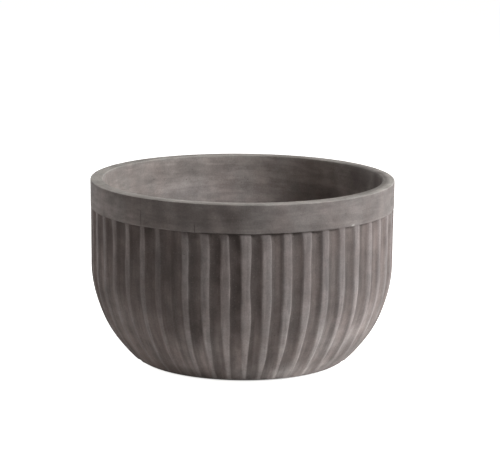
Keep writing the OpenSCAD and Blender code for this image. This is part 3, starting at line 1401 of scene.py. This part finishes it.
    def arris_angles(self, rows: Profile, along: Array) -> tuple[Array, Array, Array]:
        """Azimuths of both edges of every flute at every row.

        A flat is widest in front, by flat_swell, and lies off its crest by
        flat_shift. Down the wall it narrows along a smooth step to foot_flat
        of its width, and to less by foot_pinch and where it is slender. Its
        edges wander by some tenths of a millimetre, as on a hand-finished
        mould, and lean over under the collar, by lean times e to the power of
        minus the distance from the collar over lean_length. Half a flat never
        measures less than least_half_flat.

        Args:
            rows: Profile of the outside.
            along: Distance along it.

        Returns:
            Crest, first edge and second edge of each flute, one line a row.
        """
        crest = self.crest_angles()
        after = np.append(crest[1:], crest[0] + 2.0 * math.pi)
        turn = half_turns(np.degrees(crest) - self.widest)
        wide = 0.5 * self.flat_w * (self.flat_share + self.flat_swell.at(turn))
        right, left = (wide * self.rng.normal(1.0, self.flat_spread, self.flute_count) for _ in range(2))
        shift = swells(self.flat_shift, turn)
        right, left = right * (1.0 - shift), left * (1.0 + shift)
        right[-2], left[0] = self.closing_wide, self.closing_wide
        right[-1], left[-1] = self.closing_thin, self.closing_thin
        slender = self.slender.at(turn)
        least = self.foot_flat + self.foot_pinch.at(turn) - self.slender_pinch * slender
        full = (self.taper_share + self.slender_rise * slender) * self.curve_h
        taper = least + (1.0 - least) * smooth_step(0.0, full, rows.z[:, None])
        path = along[:, None]
        down = np.maximum(self.collar_z - rows.z, 0.0)[:, None]
        fade = np.exp(-down / self.lean_length)
        lean = self.rng.uniform(0.0, self.lean, (2, 1, self.flute_count)) * fade

        def wander(angle: Array) -> Array:
            """Sideways shift of an edge, in metres."""
            return self.edge_sway.at(angle, path) + self.edge_shiver.at(angle, path)

        least_turn = self.least_half_flat / np.maximum(rows.r, self.foot_r)[:, None]
        past_crest = right * taper + wander(crest[None, :] + self.edge_apart) - lean[0]
        before_crest = np.roll(left, -1) * taper + wander(after[None, :] - self.edge_apart) + lean[1]
        first = crest + np.maximum(past_crest / self.crest_r, least_turn)
        second = after - np.maximum(before_crest / self.crest_r, least_turn)
        return np.broadcast_to(crest, first.shape), first, second

    def column_angles(self, rows: Profile, along: Array) -> tuple[Array, Array, Array, Array]:
        """Azimuth of every vertex of the fluted grid.

        Each flute's columns lie close together round its two edges and evenly
        across its scoop and its flat. Above the flutes and under the foot
        they slide to even spacing, so that the inner grid meets them.

        Args:
            rows: Profile of the outside.
            along: Distance along it.

        Returns:
            Azimuths, and for each vertex the middle of its flute, the flute's
            half angle and the azimuth of the nearer crest.
        """
        crest, first, second = self.arris_angles(rows, along)
        after = np.concatenate([crest[:, 1:], crest[:, :1] + 2.0 * math.pi], 1)
        reach = np.maximum(rows.r, self.foot_r)[:, None, None]
        offset = np.array(self.ARRIS) * MM
        one, two = first[..., None] + offset / reach, second[..., None] - offset[::-1] / reach
        t = np.arange(1, self.SCOOP_SAMPLES + 1) / (self.SCOOP_SAMPLES + 1)
        scoop = one[..., -1:] + (two[..., :1] - one[..., -1:]) * t
        flat_on, flat_back = 0.5 * (crest[..., None] + one[..., :1]), 0.5 * (after[..., None] + two[..., -1:])
        parts = [crest[..., None], flat_on, one, scoop, two, flat_back]
        angle = np.concatenate(parts, -1).reshape(len(along), -1)
        middle, half, left, right = (
            np.repeat(values, self.per_flute, 1)
            for values in (0.5 * (first + second), 0.5 * (second - first), crest, after)
        )
        nearer = np.where(angle < middle, left, right)
        even = np.arange(self.columns) * 2.0 * math.pi / self.columns
        even = even + np.mean(angle[0] - even)
        high = smooth_step(self.collar_z + self.even_above, self.total_h - self.even_margin, rows.z)
        low = smooth_step(self.heel_r, self.recess_r + self.even_margin, rows.r) * (rows.z < self.base_z + MM)
        share = np.maximum(high, low)[:, None]
        return angle * (1.0 - share) + even * share, middle, half, nearer

    def scoop_depth(self, rows: Profile, angle: Array, middle: Array, half: Array, nearer: Array) -> Array:
        """Depth of the flutes at every vertex of the fluted grid.

        Across a flute the cut is depth times 1 less (w / h) to the power of
        scoop_power, where w is the distance from the flute's middle and h is
        half its width. Past an edge it goes on straight. The edge itself is
        rounded by a soft limit, more or less with its wear. Each crest lies
        a little lower by a drop of its own, which fades towards the edges.

        Args:
            rows: Profile of the outside.
            angle: Azimuths of the vertices.
            middle: Azimuth of each vertex's flute.
            half: Half angle of that flute.
            nearer: Azimuth of the nearer crest.

        Returns:
            Depths along the inward direction, in metres.
        """
        reach = rows.r[:, None]
        flute = np.repeat(np.arange(self.flute_count), self.per_flute)
        uneven = self.rng.normal(1.0, self.depth_spread, self.flute_count)[flute]
        narrow = np.where(flute < self.flute_count - 2, 1.0, self.closing_depth)
        depth = np.maximum(rows.depth[:, None], self.least_depth) * uneven * narrow
        w, h = np.abs(reach * (angle - middle)), reach * half
        inside = depth * (1.0 - np.minimum(w / h, 1.0) ** self.scoop_power)
        past = np.maximum(w - h, 0.0) * self.scoop_power * depth / h
        wear = np.clip(1.0 + self.arris_wear.at(nearer, rows.z[:, None]), *self.wear_limits)
        cut = soft_floor(inside - past, self.arris_round * wear)
        drop = self.rng.uniform(0.0, self.crest_drop, self.flute_count)
        drop[-1] = self.closing_drop
        which = np.where(angle < middle, flute, (flute + 1) % self.flute_count)
        ridge = 1.0 - smooth_step(self.crest_core, self.crest_edge, reach * np.abs(angle - nearer))
        lower = drop[which] * ridge
        cut = np.maximum(cut, lower) + self.drop_gain * np.minimum(cut, lower)
        return cut * rows.scoop[:, None] + self.neck(rows, angle)

    def neck(self, rows: Profile, angle: Array) -> Array:
        """Depth of the uneven groove in which the crests end under the collar.

        It is a bell of the height below the collar, and strongest on the
        front, where the mould was cleaned out with a blade.

        Args:
            rows: Profile of the outside.
            angle: Azimuths of the vertices.

        Returns:
            Depths along the inward direction, in metres.
        """
        down = ((self.collar_z - rows.z) / self.neck_height)[:, None]
        uneven = self.neck_base + self.neck_cut.at(angle, 0.0 * down)
        front = self.neck_back + self.neck_front.at(half_turns(np.degrees(angle) % 360.0 - self.front))
        outer = (rows.z > self.curve_h)[:, None] & (down >= 0.0)
        return self.neck_depth * np.clip(uneven, 0.0, self.neck_most) * front * np.exp(-(down**2)) * outer

    # ---- surface

    def unevenness(self, angle: Array, along: Array) -> Array:
        """How far a hand-cast wall strays inwards from a true one, in metres."""
        return self.stray_broad.at(angle, along) + self.stray_local.at(angle, along)

    def socket_lift(self, angle: Array) -> tuple[Array, Array]:
        """Shapes the pads' round sockets in the foot ring.

        The four rows on either side of the pad ring follow a circle about
        each pad: the half chord at a distance w from the pad's middle is the
        root of the radius squared less w squared.

        Args:
            angle: Azimuths of the vertices in the four rows.

        Returns:
            New distances from the axis and heights of the four rows.
        """
        pitch = 2.0 * math.pi / self.pad_count
        near = (np.arange(self.pad_count) + 0.5) * pitch
        off = (angle[..., None] - near + math.pi) % (2.0 * math.pi) - math.pi
        w = np.min(np.abs(off), -1) * self.pad_ring_r
        chord = np.sqrt(np.maximum(self.socket_r**2 - w * w, 0.0))
        away = np.maximum(chord, self.least_chord) * np.array([-1.0, -1.0, 1.0, 1.0])[:, None]
        slack = self.socket_slack * np.array([-1.0, 0.0, 0.0, 1.0])[:, None]
        inside = (w < self.socket_r) & (np.array([False, True, True, False])[:, None])
        return self.pad_ring_r + away + slack, np.where(inside, self.socket_top, self.base_z)

    def outside(self) -> dict[str, Array]:
        """Works out the fluted grid.

        A vertex lies at (r sin azimuth, -r cos azimuth, z), where r and z are
        the profile's, moved inwards by the scoops and the unevenness. The
        collar's lower edge sags by a ripple.

        Returns:
            Points and masks of the grid, each with a line for every vertex.
        """
        rows = self.outer_rows()
        along = rows.along()
        angle, middle, half, nearer = self.column_angles(rows, along)
        cut = self.scoop_depth(rows, angle, middle, half, nearer)
        foot = rows.z > self.base_z + 0.5 * MM
        inwards = cut + self.unevenness(angle, along[:, None]) * foot[:, None]
        sag = self.collar_sag.at(angle, 0.0 * along[:, None])
        sag = sag * bell(rows.z, self.collar_z, self.sag_height)[:, None]
        r = rows.r[:, None] - inwards * rows.out_r[:, None]
        z = rows.z[:, None] - inwards * rows.out_z[:, None] + sag
        r[self.SOCKET_ROWS], z[self.SOCKET_ROWS] = self.socket_lift(angle[self.SOCKET_ROWS])
        wide = np.ones_like(cut)
        sharp, soft = self.crest_blur
        blur = np.maximum(np.where(angle > middle, soft, sharp) * rows.depth[:, None], self.least_blur)
        crest = 1.0 - smooth_step(0.0, 1.0, (cut - self.crest_from) / blur)
        fluted = ((rows.z > self.base_z + MM) & (rows.z < self.collar_z - 0.1 * MM))[:, None] * wide
        # Painted shade on the left part of each valley, faded out towards the bowl's left.
        painted_valley_shade = 1.0 - smooth_step(*self.painted_valley_shade_span, np.clip((angle - middle) / half, -1.0, 1.0))
        shade_from, shade_full = (math.radians(degrees) for degrees in self.painted_valley_shade_fade)
        painted_valley_shade = painted_valley_shade * smooth_step(shade_from, shade_full, (angle + math.pi) % (2.0 * math.pi) - math.pi)
        masks = {"crest": crest * fluted, "fluted": fluted, "rim": self.rim_mask(rows, self.rim_fade) * wide,
                 "inside": 0.0 * wide, "painted_valley_shade": painted_valley_shade * fluted}
        return self.pack(angle, r, z, along, masks)

    def rim_mask(self, rows: Profile, fade: tuple[float, float]) -> Array:
        """Mask of the rim: a smooth step of the height between two depths below its top."""
        return smooth_step(self.total_h - fade[0], self.total_h - fade[1], rows.z)[:, None]

    def lining(self, turn: Array) -> dict[str, Array]:
        """Works out the coarser grid of the inside and the underside.

        Args:
            turn: Azimuths of its columns.

        Returns:
            Points and masks of the grid, each with a line for every vertex.
        """
        rows = self.inner_rows()
        along = 1.0 + rows.along()
        angle = np.broadcast_to(turn, (len(rows.r), len(turn)))
        hollow = ((rows.z > self.floor_z) & (rows.z < self.total_h))[:, None]
        stray = (self.trowel.at(angle, along[:, None]) + self.lumps.at(angle, along[:, None])) * hollow
        r = rows.r[:, None] - stray * rows.out_r[:, None]
        z = rows.z[:, None] - stray * rows.out_z[:, None]
        wide = np.ones_like(r)
        above = (rows.z > self.roof_z + MM)[:, None] * wide
        rim = self.rim_mask(rows, self.rim_fade_in) * wide
        none = 0.0 * wide
        masks = {"crest": none, "fluted": none, "rim": rim, "inside": above * (1.0 - rim), "painted_valley_shade": none}
        return self.pack(angle, r, z, along, masks)

    def pack(
        self, angle: Array, r: Array, z: Array, along: Array, masks: dict[str, Array]
    ) -> dict[str, Array]:
        """Turns a grid into one line for each vertex.

        Args:
            angle: Azimuths.
            r: Distances from the axis.
            z: Heights.
            along: Distance of each row along the profile.
            masks: Masks of the same shape as r.

        Returns:
            The masks by name, with points, azimuth and flow, which are
            coordinates that follow the wall.
        """
        wall = np.broadcast_to(along[:, None], r.shape)
        return {name: mask.ravel() for name, mask in masks.items()} | {
            "points": turned(r, angle, z),
            "flow": turned(self.rim_r, angle, wall),
            "azimuth": np.broadcast_to(angle, r.shape).ravel(),
        }

    def marks(self, data: dict[str, Array]) -> dict[str, Array]:
        """Masks of the patches, the chips, and where the cracks may show.

        A painted shadow line runs under the collar in front: a bell of the height
        times a bell of the azimuth. The cracks show on the collar's left, except
        that the one nearer the front reaches only a little way up.

        Args:
            data: Points, azimuths and masks of the whole shell.

        Returns:
            The masks of stains and painted shade, pale patches and painted light, chips, cracks, belly and
            underside.
        """
        degrees = half_turns(np.degrees(data["azimuth"]))
        x, y, z = data["points"].T
        within = data["inside"] + data["rim"] * (np.hypot(x, y) < self.rim_middle)
        outer = 1.0 - within
        ragged = self.ragged.at(data["azimuth"], z)
        fluted = data["fluted"]
        valley = fluted * (1.0 - data["crest"])
        # Belly mask: where the painted light from below is laid.
        belly = fluted * smooth_step(*self.belly_fade, z + self.belly_ragged * ragged)
        under = (z < self.roof_z + MM) * (1.0 - fluted)
        # Painted shadow under the collar's edge, strongest in front.
        turn = (degrees - self.front) / self.line_half_turn
        rise = (z - self.collar_z + self.line_drop) / self.line_height
        stain_and_painted_shade = self.painted_shadow_line * np.exp(-(rise**2) - turn**2) * fluted
        pale, chip = np.zeros_like(z), np.zeros_like(z)
        sides = {Zone.OUTSIDE: outer, Zone.INSIDE: within, Zone.FLUTES: fluted,
                 Zone.VALLEYS: valley, Zone.CRESTS: fluted - valley}
        # Dark patches go into the mask of stains and painted shade, pale ones into the pale mask, which is
        # mostly painted light.
        for table, mask in ((STAIN_AND_SHADE_PATCHES, stain_and_painted_shade), (PALE_AND_PAINTED_LIGHT_PATCHES, pale)):
            for zone, patches in table.items():
                for patch in patches:
                    cover = patch.cover(degrees, z, ragged * (1.0 - self.smooth_inside * within))
                    np.maximum(mask, cover * sides[zone], out=mask)
        for knock in CHIPS:
            chip = np.maximum(chip, knock.cover(degrees, z, ragged, self.rim_r) * outer)
        left = (degrees > self.crack_side) & (degrees < 0.0)
        reached = (z > self.collar_z) & ((degrees < self.crack_tall) | (z < self.collar_z + self.crack_short))
        faint = 1.0 - self.crack_faint * smooth_step(*self.crack_fade, z)
        crack = (left & reached) * outer * faint
        return {"stain_and_painted_shade": stain_and_painted_shade, "pale": pale, "chip": chip, "crack": crack, "belly": belly, "under": under}

    def build(self, finish: Finish) -> Object:
        """Makes the shell, dresses it and puts it in the frame.

        Args:
            finish: Its material.

        Returns:
            The finished piece.
        """
        outer = self.outside()
        rim_turn = outer["azimuth"].reshape(-1, self.columns)[-1, :: self.SHARE]
        inner = self.lining(rim_turn)
        data = {name: np.concatenate([outer[name], inner[name]]) for name in outer}
        columns, coarse = self.columns, self.columns // self.SHARE
        count = len(outer["points"])
        fine_rows, coarse_rows = count // columns, len(inner["points"]) // coarse
        quads = np.concatenate([grid_faces(fine_rows, columns), grid_faces(coarse_rows, coarse, count)])
        ring, coarse_ring = np.arange(columns), count + np.arange(coarse)
        rim_seam = seam_faces(ring + (fine_rows - 1) * columns, coarse_ring, self.SHARE)
        foot_seam = seam_faces(ring, coarse_ring + (coarse_rows - 1) * coarse, self.SHARE)
        seams = np.concatenate([rim_seam, foot_seam[:, ::-1]])
        made = make_mesh("bowl_shell_cast", data["points"], quads, seams)
        masks = {name: data[name] for name in ("crest", "fluted", "rim", "inside", "painted_valley_shade", "flow")}
        for name, values in (masks | self.marks(data)).items():
            set_values(made, name, values)
        finish.dress(made)
        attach(made, Body.BOWL.value)
        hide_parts("bowl_shell")
        return made


# Dark patches, laid with the dark tone: patina stains, except those marked below as painted shade or painted
# shadow.
STAIN_AND_SHADE_PATCHES: dict[Zone, tuple[Patch, ...]] = {
    Zone.OUTSIDE: (
        Patch(-16.0, 0.222, 17.0, 0.03, 0.56),
        Patch(-2.0, 0.214, 4.5, 0.006, 0.5),
        Patch(6.5, 0.236, 3.5, 0.006, 0.4),
        Patch(-5.0, 0.225, 8.0, 0.02, 0.68),
        Patch(15.0, 0.22, 6.0, 0.02, 0.2),
        Patch(-26.0, 0.223, 7.0, 0.008, 0.5),
        Patch(45.0, 0.222, 8.0, 0.02, 0.34),
        Patch(-48.0, 0.2375, 40.0, 0.004, 0.35),
        Patch(35.0, 0.224, 18.0, 0.03, 0.26),
        Patch(140.0, 0.2, 30.0, 0.05, 0.3),
        Patch(-130.0, 0.1, 26.0, 0.07, 0.3),
        Patch(180.0, 0.24, 60.0, 0.004, 0.2),
    ),
    Zone.INSIDE: (
        # Painted shade on the inside's right wall: the patches at 118, 140, 82, 98 and 127 degrees. The other
        # inside patches are patina.
        Patch(118.0, 0.223, 14.0, 0.024, 0.78),
        Patch(140.0, 0.19, 14.0, 0.014, 0.66),
        Patch(-148.0, 0.2165, 16.0, 0.01, 0.2),
        Patch(0.0, 0.1, 60.0, 0.05, 0.3),
        Patch(82.0, 0.2, 44.0, 0.09, 0.7),
        Patch(98.0, 0.222, 20.0, 0.035, 0.85),
        Patch(127.0, 0.205, 7.0, 0.012, 0.5),
        Patch(180.0, 0.24, 60.0, 0.0015, 0.2),
    ),
    Zone.VALLEYS: (
        Patch(-4.0, 0.165, 12.0, 0.1, 0.82),
        Patch(-22.0, 0.12, 15.0, 0.12, 0.42),
        Patch(-44.0, 0.188, 23.0, 0.056, 0.6),
        Patch(-1.8, 0.19, 3.0, 0.03, 0.92),
        Patch(-17.0, 0.09, 4.0, 0.035, 0.7),
        Patch(20.0, 0.085, 11.0, 0.035, 0.42),
        Patch(9.0, 0.03, 12.0, 0.04, 0.42),
        Patch(-10.0, 0.03, 6.0, 0.03, 0.55),
        # These four: painted shadow of the collar's edge on the tops of the valleys.
        Patch(-37.0, 0.2, 5.0, 0.007, 0.75),
        Patch(-16.8, 0.199, 2.4, 0.007, 0.8),
        Patch(-9.2, 0.199, 2.4, 0.008, 0.8),
        Patch(-51.0, 0.2, 5.0, 0.007, 0.6),
    ),
    Zone.CRESTS: (
        Patch(-62.0, 0.16, 20.0, 0.07, 0.26),
        Patch(-31.0, 0.14, 5.0, 0.12, 0.4),
        Patch(-11.0, 0.03, 7.0, 0.025, 0.3),
        Patch(-4.0, 0.168, 8.0, 0.05, 0.3),
        # These five: painted shadow of the collar's edge on the tops of the crests.
        Patch(-20.5, 0.2035, 2.4, 0.008, 0.85),
        Patch(-12.5, 0.2035, 1.6, 0.006, 0.75),
        Patch(-6.5, 0.2035, 1.8, 0.009, 0.8),
        Patch(-46.0, 0.2035, 2.4, 0.008, 0.4),
        Patch(16.0, 0.2045, 2.0, 0.004, 0.35),
    ),
}
# Pale patches: most are painted light, as marked below.
PALE_AND_PAINTED_LIGHT_PATCHES: dict[Zone, tuple[Patch, ...]] = {
    # Painted light on the inside's back wall.
    Zone.INSIDE: (
        Patch(182.0, 0.17, 26.0, 0.035, 0.95),
        Patch(-160.0, 0.19, 16.0, 0.018, 0.95),
        Patch(-175.0, 0.213, 9.0, 0.012, 0.6),
        Patch(158.0, 0.231, 15.0, 0.011, 0.6),
    ),
    # Crests: those below 0.1 m are painted light from below on the belly; those higher up are a paler tone.
    Zone.CRESTS: (
        Patch(7.0, 0.09, 13.0, 0.1, 0.36),
        Patch(-20.0, 0.15, 4.0, 0.06, 0.24),
        Patch(24.0, 0.03, 30.0, 0.06, 0.95),
        Patch(56.0, 0.05, 18.0, 0.05, 0.65),
        Patch(49.0, 0.09, 6.0, 0.05, 0.6),
        Patch(-42.0, 0.06, 24.0, 0.05, 0.13),
    ),
    # Flutes: those below 0.1 m are painted light from below on the belly; those higher up are a paler tone.
    Zone.FLUTES: (
        Patch(54.0, 0.033, 27.0, 0.05, 0.56),
        Patch(38.0, 0.012, 34.0, 0.016, 0.95),
        Patch(-15.0, 0.03, 10.0, 0.025, 0.2),
        Patch(-25.0, 0.02, 10.0, 0.016, 0.32),
        Patch(-66.0, 0.13, 14.0, 0.09, 0.12),
        Patch(-54.0, 0.08, 12.0, 0.035, 0.12),
    ),
}
CHIPS = (
    Chip(44.0, 0.2046, 0.0024, 0.0009),
    Chip(161.0, 0.2045, 0.002, 0.0008),
    Chip(-118.0, 0.2046, 0.0016, 0.0008),
)


# ----------------------------------------------------------- plug, pads, cage


@dataclass
class DrainPlug:
    """Moulded rubber plug: tapered nose, stem, flange and finger grip.

    Sizes are in metres. The plug is a profile turned round the axis, with
    every corner rounded.
    """

    stem_r: float = 0.0122
    flange_r: float = 0.0185
    flange_t: float = 0.004
    floor_z: float = 0.024
    stem_h: float = 0.016
    nose_h: float = 0.007
    nose_taper: float = 12.0
    grip_r: float = 0.007
    grip_h: float = 0.013
    groove_r: float = 0.0025
    groove_turn: float = 72.0
    groove_shift: float = 0.25
    groove_rows: int = 9
    hollow_r: float = 0.005
    hollow_h: float = 0.008
    corner: float = 0.0005
    flash: float = 0.00006
    flash_width: float = 0.05
    columns: int = 96

    def outline(self) -> Array:
        """Corners of the profile, from the axis under the nose to the axis on top.

        Returns:
            One line of r and z for each corner.
        """
        foot, top = self.floor_z - self.stem_h, self.floor_z + self.flange_t
        nose_r = self.stem_r - self.nose_h * math.tan(math.radians(self.nose_taper))
        middle, crown = top + 0.5 * self.grip_h, top + self.grip_h
        turn = np.radians(np.linspace(-self.groove_turn, self.groove_turn, self.groove_rows))
        centre = self.grip_r + self.groove_shift * self.groove_r
        groove = np.stack([centre - self.groove_r * np.cos(turn), middle + self.groove_r * np.sin(turn)], -1)
        before = [(0.0, foot + self.hollow_h), (self.hollow_r, foot + self.hollow_h), (self.hollow_r, foot),
                  (nose_r, foot), (self.stem_r, foot + self.nose_h), (self.stem_r, self.floor_z),
                  (self.flange_r, self.floor_z), (self.flange_r, top), (self.grip_r, top)]
        return np.concatenate([np.array(before), groove, [(self.grip_r, crown), (0.0, crown)]])

    def rounded(self, corners: Array) -> Array:
        """Replaces each corner by a short curve through three points.

        The two new ends lie one radius back along the sides, or a third of
        the side if that is less, and the middle point is pulled half way
        from the corner to the ends' middle.

        Args:
            corners: Profile with sharp corners.

        Returns:
            Profile with rounded corners, with the same two ends.
        """
        here, before, after = corners[1:-1], corners[:-2], corners[2:]
        back, on = before - here, after - here
        back_len, on_len = np.linalg.norm(back, axis=1), np.linalg.norm(on, axis=1)
        start, end = (
            here + side / length[:, None] * np.minimum(self.corner, length / 3.0)[:, None]
            for side, length in ((back, back_len), (on, on_len))
        )
        middle = 0.5 * here + 0.25 * (start + end)
        inner = np.stack([start, middle, end], 1).reshape(-1, 2)
        return np.concatenate([corners[:1], inner, corners[-1:]])

    def build(self, finish: Finish) -> Object:
        """Turns the profile, closes both poles and puts the plug in the frame.

        The mould's two halves leave a flash: a bell of the sine of the
        azimuth, so that it stands up on both sides.

        Args:
            finish: Its material.

        Returns:
            The finished piece.
        """
        profile = self.rounded(self.outline())
        ring, ends = profile[1:-1], profile[[0, -1]]
        turn = np.arange(self.columns) * 2.0 * math.pi / self.columns
        flash = self.flash * bell(np.sin(turn), 0.0, self.flash_width)
        r = ring[:, :1] + flash * (ring[:, :1] > self.hollow_r + MM)
        r = np.minimum(r, self.flange_r)
        z = np.broadcast_to(ring[:, 1:], r.shape)
        poles = [(0.0, 0.0, z_pole) for z_pole in ends[:, 1]]
        points = np.concatenate([turned(r, turn, z), poles])
        under, above = len(points) - 2, len(points) - 1
        j = np.arange(self.columns)
        k, last = (j + 1) % self.columns, under - self.columns
        bottom = np.stack([np.full(self.columns, under), k, j], -1)
        top = np.stack([np.full(self.columns, above), last + j, last + k], -1)
        quads = grid_faces(len(ring), self.columns)
        made = make_mesh("drain_plug_moulded", points, quads, np.concatenate([bottom, top]))
        finish.dress(made)
        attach(made, Body.PLUG.value)
        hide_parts("drain_plug")
        return made


@dataclass
class PackedPieces:
    """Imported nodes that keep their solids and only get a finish."""

    prefixes: tuple[str, ...]

    def dress(self, nodes: dict[str, Object], finish: Finish) -> list[str]:
        """Gives every node whose name starts with a prefix its finish.

        Args:
            nodes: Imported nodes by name.
            finish: Material of the pieces.

        Returns:
            Names of the nodes that were dressed.
        """
        names = [name for name in sorted(nodes) if name.startswith(self.prefixes)]
        finish.dress(*(nodes[name] for name in names))
        return names


@dataclass
class Reinforcement(PackedPieces):
    """Hoops and wires of the cage inside the concrete."""

    prefixes: tuple[str, ...] = ("cage_wire_", "rim_hoop", "waist_hoop", "foot_hoop", "drain_hoop")


@dataclass
class FootPads(PackedPieces):
    """Rubber pads under the foot ring."""

    prefixes: tuple[str, ...] = ("foot_pad_",)


# -------------------------------------------------------------------- studio


@dataclass(frozen=True)
class Softbox:
    """Square area light that faces the bowl. Azimuth 0 is the viewer's side."""

    name: str
    azimuth: float
    elevation: float
    distance: float
    size: float
    watts: float
    tint: Colour = (1.0, 1.0, 1.0)

    def place(self, target: Vector) -> None:
        """Adds the light.

        Args:
            target: Point that it faces.
        """
        data = bpy.data.lights.new(self.name, "AREA")
        data.shape, data.size, data.energy = "SQUARE", self.size, self.watts
        data.color = self.tint
        light = bpy.data.objects.new(self.name, data)
        bpy.context.scene.collection.objects.link(light)
        turn, rise = math.radians(self.azimuth), math.radians(self.elevation)
        away = Vector((math.sin(turn) * math.cos(rise), -math.cos(turn) * math.cos(rise), math.sin(rise)))
        light.location = target + away * self.distance
        light.rotation_mode = "QUATERNION"
        light.rotation_quaternion = away.to_track_quat("Z", "Y")


@dataclass(frozen=True)
class PhotoCamera:
    """Camera of the photograph, found by fitting the bowl's outline.

    Lengths called px and the centre are in pixels of the photograph's frame.
    """

    frame_w: float = 500.0
    frame_h: float = 450.0
    elevation: float = 12.37
    roll: float = 0.49
    distance: float = 2.6
    focal_px: float = 1956.0
    centre_x: float = 241.79
    centre_y: float = 266.23
    sensor: float = 36.0
    clip: tuple[float, float] = (0.05, 60.0)

    def place(self, target: Vector) -> Object:
        """Adds the camera and makes it the scene's own.

        Args:
            target: Point of the object that falls on centre_x, centre_y.

        Returns:
            The camera.
        """
        data = bpy.data.cameras.new("photo_camera")
        data.sensor_width = self.sensor
        data.lens = self.focal_px * self.sensor / self.frame_w
        turn = math.radians(self.roll)
        x, y = self.centre_x - 0.5 * self.frame_w, self.centre_y - 0.5 * self.frame_h
        data.shift_x, data.shift_y = -x / self.frame_w, y / self.frame_w
        data.clip_start, data.clip_end = self.clip
        camera = bpy.data.objects.new("photo_camera", data)
        bpy.context.scene.collection.objects.link(camera)
        rise = math.radians(self.elevation)
        back = Vector((0.0, -math.cos(rise), math.sin(rise)))
        camera.location = target + back * self.distance
        camera.rotation_mode = "XYZ"
        camera.rotation_euler = (math.radians(90.0) - rise, 0.0, 0.0)
        camera.rotation_euler.rotate_axis("Z", turn)
        bpy.context.scene.camera = camera
        return camera


@dataclass
class Studio:
    """Pale floor, white surround, two softboxes and the camera."""

    floor_half: float = 14.0
    floor_squares: int = 8
    surround: float = 0.018
    warm: Colour = (1.0, 0.90, 0.85)
    lights: tuple[Softbox, ...] = (
        Softbox("right_box", 90.0, 21.0, 2.4, 0.7, 30.0),
        Softbox("front_right_box", 65.0, 39.0, 2.2, 0.8, 34.0),
        Softbox("front_left_box", -35.0, 35.0, 2.4, 1.2, 5.5, (1.0, 0.90, 0.85)),
        Softbox("left_box", -110.0, 32.0, 2.4, 1.0, 8.0, (1.0, 0.95, 0.92)),
        Softbox("back_left_box", -135.0, 20.0, 2.4, 1.0, 20.0),
    )
    camera: PhotoCamera = PhotoCamera()

    def build(self, target: Vector) -> None:
        """Sets the studio up round a point.

        Args:
            target: Middle of the object.
        """
        for light in self.lights:
            light.place(target)
        self.camera.place(target)
        self.lay_floor()
        self.surround_white()
        bpy.context.scene.view_settings.view_transform = "Standard"

    def lay_floor(self) -> None:
        """Lays the floor: a flat grid of squares at height 0."""
        count = self.floor_squares + 1
        side = np.linspace(-self.floor_half, self.floor_half, count)
        x, y = np.meshgrid(side, side)
        points = np.stack([x, y, 0.0 * x], -1).reshape(-1, 3)
        start = np.arange(count * count).reshape(count, count)[:-1, :-1].ravel()
        quads = np.stack([start, start + 1, start + count + 1, start + count], -1)
        floor = make_mesh("studio_floor", points, quads, np.zeros((0, 3), dtype=int))
        FloorFinish("studio_floor").dress(floor)
        floor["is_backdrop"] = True

    def surround_white(self) -> None:
        """Lights the bowl evenly from all round, in front of a white ground."""
        world = bpy.data.worlds.new("studio_surround")
        world.use_nodes = True
        world.node_tree.nodes.clear()
        graph = Graph(world.node_tree)
        seen = graph.add("ShaderNodeLightPath").outputs["Is Camera Ray"]
        back = graph.add("ShaderNodeBackground")
        graph.feed(back.inputs["Color"], graph.mix(seen, self.warm, (1.0, 1.0, 1.0)))
        graph.feed(back.inputs["Strength"], graph.between(seen, self.surround, 1.0))
        graph.feed(graph.add("ShaderNodeOutputWorld").inputs["Surface"], back.outputs[0])
        bpy.context.scene.world = world


# ---------------------------------------------------------------------- main


def box_of(corners: tuple[Vector, Vector]) -> list[list[float]]:
    """Two corners as plain lists of numbers."""
    return [[float(value) for value in corner] for corner in corners]


def main() -> None:
    """Builds every piece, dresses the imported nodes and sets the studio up."""
    logging.basicConfig(level=logging.INFO, format="%(message)s")
    cad_box = box_of(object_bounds())
    nodes = frame["nodes"]
    concrete = ConcreteFinish("cast_concrete")
    shell = BowlShell().build(concrete)
    LOG.info("%s: %d vertices, %d faces", shell.name, len(shell.data.vertices), len(shell.data.polygons))
    concrete.dress(nodes["bowl_shell"])
    plug_rubber = RubberFinish("plug_rubber", dusty=0.35)
    plug = DrainPlug().build(plug_rubber)
    LOG.info("%s: %d faces", plug.name, len(plug.data.polygons))
    plug_rubber.dress(nodes["drain_plug"])
    LOG.info("dressed %s", FootPads().dress(nodes, RubberFinish("pad_rubber", roughness=0.7, dusty=0.5)))
    LOG.info("dressed %s", Reinforcement().dress(nodes, GalvanisedFinish("galvanised_wire")))
    low, high = (Vector(corner) for corner in cad_box)
    Studio().build((low + high) / 2.0)


if __name__ == "__main__":
    main()
